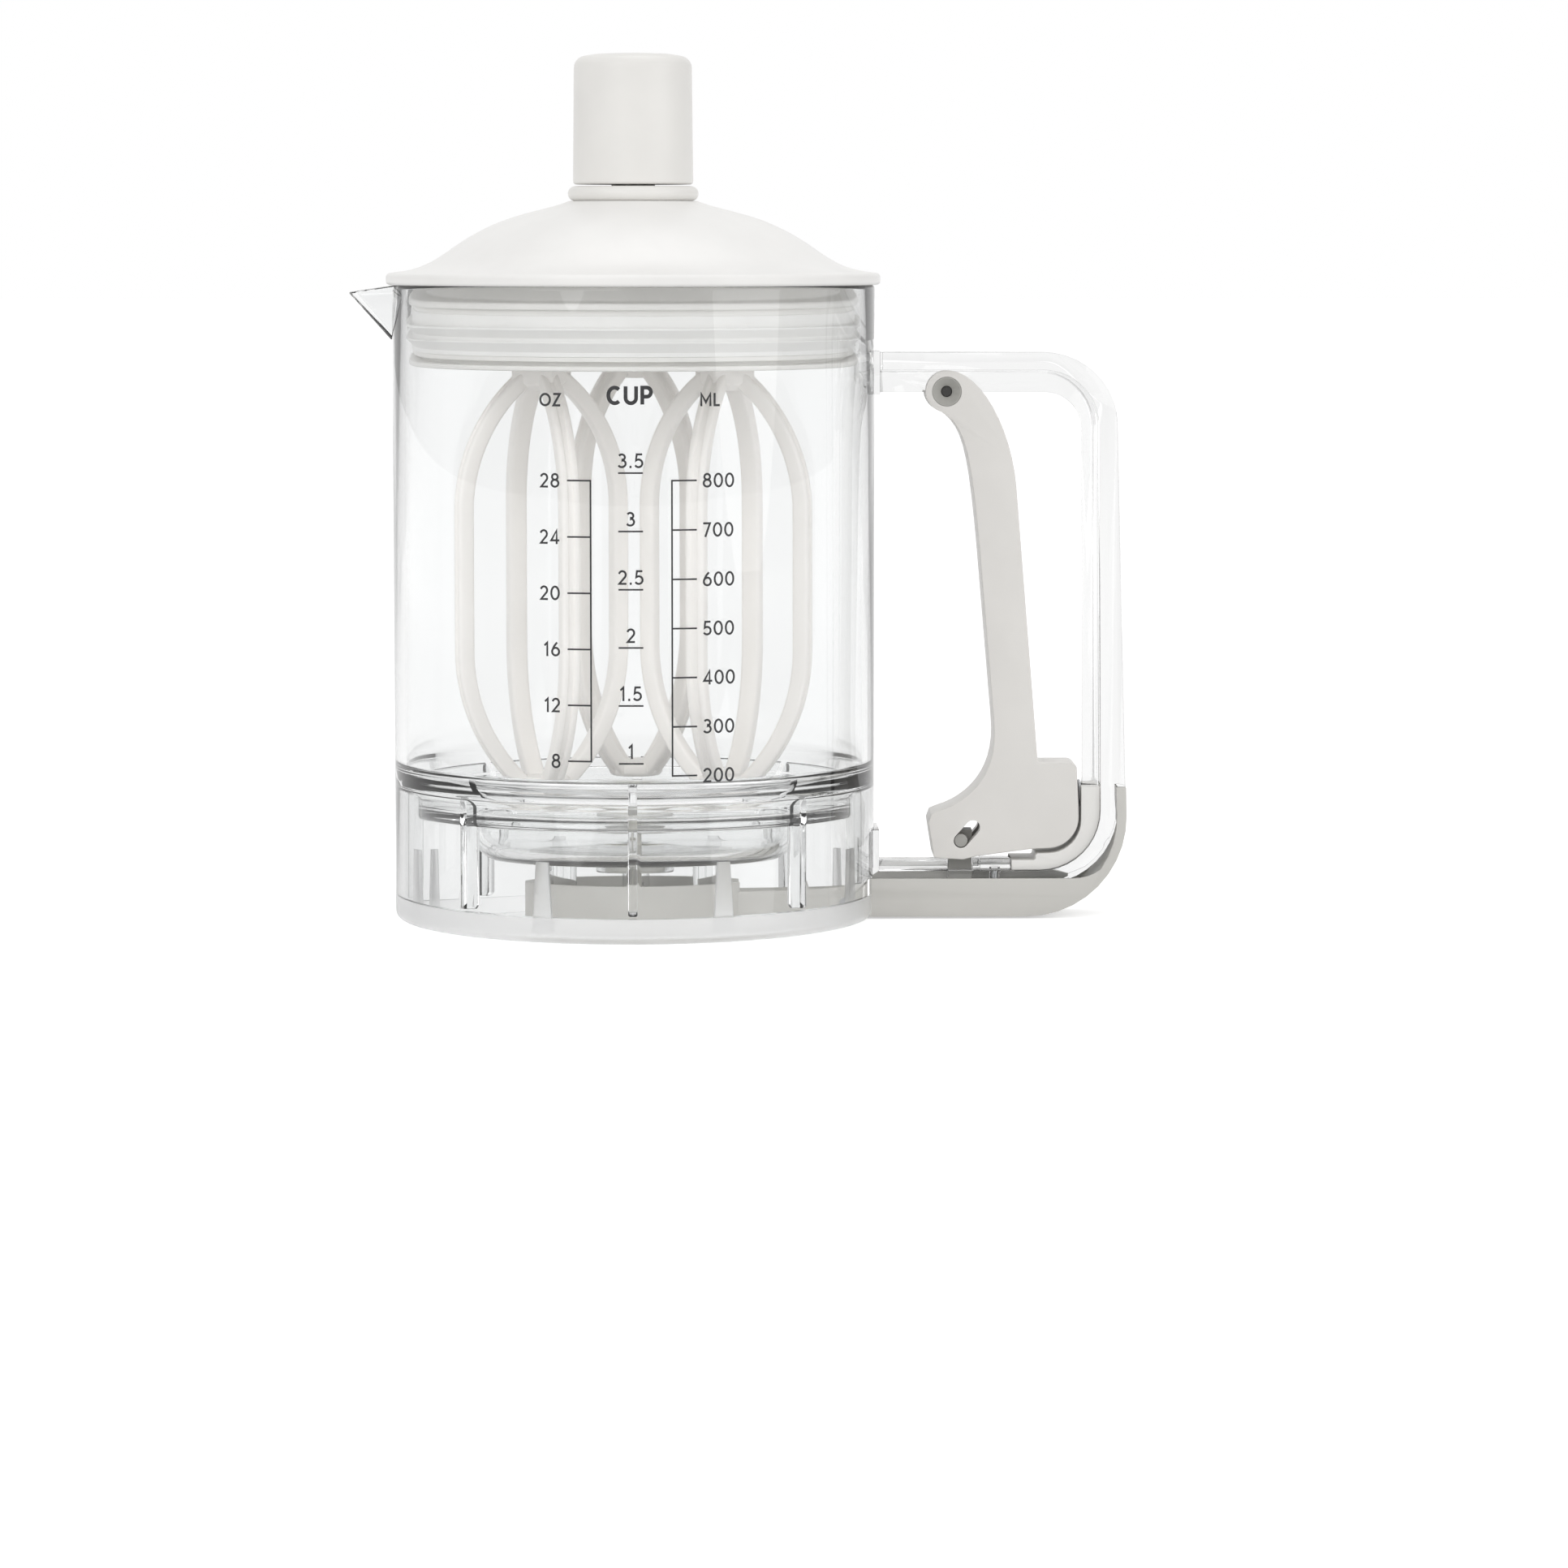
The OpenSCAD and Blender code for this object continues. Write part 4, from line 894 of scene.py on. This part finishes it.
def tine_path():
    """(radius, height, angle of travel) along the middle of a tine, from hub to foot."""
    high_z = HUB_BOTTOM - HIGH_BEND_H
    low_z = WHISK_FOOT_Z + LOW_BEND_H
    high = bulge(8.6, HUB_BOTTOM - high_z)
    low = bulge(5.6, low_z - WHISK_FOOT_Z)
    middle = TINE_T / 2
    start = math.asin((HUB_BOTTOM + 1.2 - high_z) / (high - middle))
    end = math.asin((low_z - WHISK_FOOT_Z - 1.9) / (low - middle))
    path = []
    for i in range(BEND_STEPS + 1):
        a = start * (1 - i / BEND_STEPS)
        r = high - middle
        path.append((WHISK_R - high + r * math.cos(a), high_z + r * math.sin(a), a))
    for i in range(1, STRAIGHT_STEPS + 1):
        z = high_z + (low_z - high_z) * i / STRAIGHT_STEPS
        path.append((WHISK_R - middle, z, 0.0))
    for i in range(1, BEND_STEPS + 1):
        a = -end * i / BEND_STEPS
        r = low - middle
        path.append((WHISK_R - low + r * math.cos(a), low_z + r * math.sin(a), a))
    return path


def tine_section():
    """Across u and along the arc v: a rounded bar with a shallow channel outside."""
    u, v = TINE_T / 2, TINE_W / 2
    groove, lip, floor = 0.5, 1.35, 1.7
    return rounded([(-u, -v, 0.8), (u, -v, 0.75), (u, -v + lip, 0.35),
                    (u - groove, -v + floor, 0.3), (u - groove, v - floor, 0.3),
                    (u, v - lip, 0.35), (u, v, 0.75), (-u, v, 0.8)], 3)


def tine(turn):
    frames = [Matrix.Rotation(turn, 4, "Z") @ Matrix.Translation((r * MM, 0, z * MM))
              @ Matrix.Rotation(-a, 4, "Y") for r, z, a in tine_path()]
    return swept([tuple(p) for p in tine_section()], frames)


def whisk(name, angle, turn):
    """A square hub with four tines, joined by a disc at the foot, and the collar over it."""
    half = HUB_SIDE / 2
    bm = soften(block(-half, half, -half, half, HUB_BOTTOM, HUB_TOP), 0.7, 3)
    for i in range(4):
        add(bm, tine(math.radians(45 + 90 * i)))
    foot_r, foot_top = 6.4, 34.0
    foot = rounded([(0.0, WHISK_FOOT_Z), (foot_r, WHISK_FOOT_Z, 1.2), (foot_r, foot_top, 1.2),
                    (0.0, foot_top)], 4)
    add(bm, spun(foot, 40))
    collar_r, collar_low, collar_top = 5.2, 120.1, 122.7
    collar = rounded([(0.0, collar_low), (3.6, collar_low, 0.8), (collar_r, 121.6, 0.6),
                      (collar_r, collar_top), (0.0, collar_top)], 4)
    add(bm, spun(collar, 40))
    place = (Matrix.Rotation(math.radians(angle), 4, "Z")
             @ Matrix.Translation((WHISK_AXIS_R * MM, 0, 0))
             @ Matrix.Rotation(math.radians(turn - angle), 4, "Z"))
    bmesh.ops.transform(bm, matrix=place, verts=bm.verts)
    finish_piece("cage_" + name, bm, WHISK_GREY, name + "_whisk",
                 ("whisk_" + name,), 40)


whisk("left", 210, -24)
whisk("right", 330, 24)
whisk("back", 90, 0)


# ---- Floor, light and camera ----

def studio():
    """A pale floor. Its glow is for the camera and for what polished and clear surfaces
    show, and grows far out and to the sides. It lights nothing, so the shadow stays."""
    glow_level, far_glow, side_glow, direct_glow = 0.3, 0.08, 0.4, 0.2
    bm = bmesh.new()
    bmesh.ops.create_grid(bm, x_segments=2, y_segments=2, size=12.0)
    mesh = bpy.data.meshes.new("floor")
    bm.to_mesh(mesh)
    bm.free()
    floor = bpy.data.objects.new("floor", mesh)
    bpy.context.scene.collection.objects.link(floor)
    pale, r = new_material("pale_floor")
    paint = r.blend(r.noise(scale=9.0, detail=2.0), (0.8, 0.8, 0.8), (0.82, 0.82, 0.82))
    direct = r.path("Is Camera Ray")
    seen = direct.at_least(r.path("Is Glossy Ray")).at_least(r.path("Is Transmission Ray"))
    place = r.place()
    reach = r.node("ShaderNodeVectorMath", {"operation": "LENGTH"}, place, output=1)
    far = reach.between(0.3, 1.6)
    sides = r.axis(place, "X").size().between(0.45, 1.1)
    strength = (seen * (glow_level + far * far_glow + sides * side_glow)
                + direct * direct_glow)
    glow = r.node("ShaderNodeEmission", None, Color=(1, 1, 1, 1), Strength=strength)
    shader = r.node("ShaderNodeBsdfDiffuse", None, Color=paint)
    r.surface(r.node("ShaderNodeAddShader", None, shader, glow))
    mesh.materials.append(pale)


def world():
    """White to the camera and behind the object, with a darker room to its sides and front
    for what polished and clear surfaces show. Surfaces are lit by an even, lower level."""
    room_level, softbox_level, ceiling_level, shade_level = 0.66, 0.35, 0.3, 0.12
    lit_level, clear_extra = 0.72, 0.28
    sky = bpy.data.worlds.new("studio")
    bpy.context.scene.world = sky
    sky.use_nodes = True
    r = Recipe(sky.node_tree)
    way = r.node("ShaderNodeTexCoord", None, output="Generated")
    across, back, up = (r.axis(way, name) for name in "XYZ")
    behind = back.between(0.6, 0.9)
    in_front = 1.0 - back.between(0.1, 0.4)
    softbox = (0.0 - across).between(0.55, 0.75) * up.between(-0.1, 0.3) * in_front
    ceiling = up.between(0.5, 0.8)
    shade = up.between(0.05, 0.25) * (1.0 - ceiling)
    room = (room_level + softbox * softbox_level + ceiling * ceiling_level
            - shade * shade_level)
    shown = behind + (1.0 - behind) * room
    camera = r.path("Is Camera Ray")
    sharp = r.path("Is Glossy Ray").at_least(r.path("Is Transmission Ray"))
    first = 1.0 - r.path("Diffuse Depth").between(0.2, 0.8)
    lit = lit_level + sharp * clear_extra
    strength = camera + (1.0 - camera) * (sharp * first * shown + (1.0 - sharp * first) * lit)
    background = r.node("ShaderNodeBackground", None, Color=(1, 1, 1, 1), Strength=strength)
    r.node("ShaderNodeOutputWorld", None, Surface=background)


def aimed(made, place, aim):
    """Puts a lamp or a camera at a place in metres, turned to look at another."""
    made.location = place
    made.rotation_euler = (Vector(aim) - Vector(place)).to_track_quat("-Z", "Y").to_euler()
    bpy.context.scene.collection.objects.link(made)


def lamp(name, place, aim, size, power):
    data = bpy.data.lights.new(name, "AREA")
    data.shape = "DISK"
    data.size = size
    data.energy = power
    aimed(bpy.data.objects.new(name, data), place, aim)


def camera():
    data = bpy.data.cameras.new("camera")
    data.lens = 124.2
    data.sensor_width = 36
    data.clip_end = 60
    made = bpy.data.objects.new("camera", data)
    aimed(made, (0.012, -1.250, 0.1575), (0.03464, 0.0, 0.03047))
    bpy.context.scene.camera = made


studio()
world()
lamp("key", place=(-0.7, -1.3, 0.85), aim=(0, 0, 0.08), size=1.2, power=6.0)
lamp("fill", place=(1.3, -0.9, 0.5), aim=(0.02, 0, 0.08), size=1.1, power=4.4)
lamp("top", place=(0.1, 0.3, 1.5), aim=(0, 0, 0.08), size=1.0, power=2.6)
camera()
bpy.context.scene.view_settings.view_transform = "Standard"
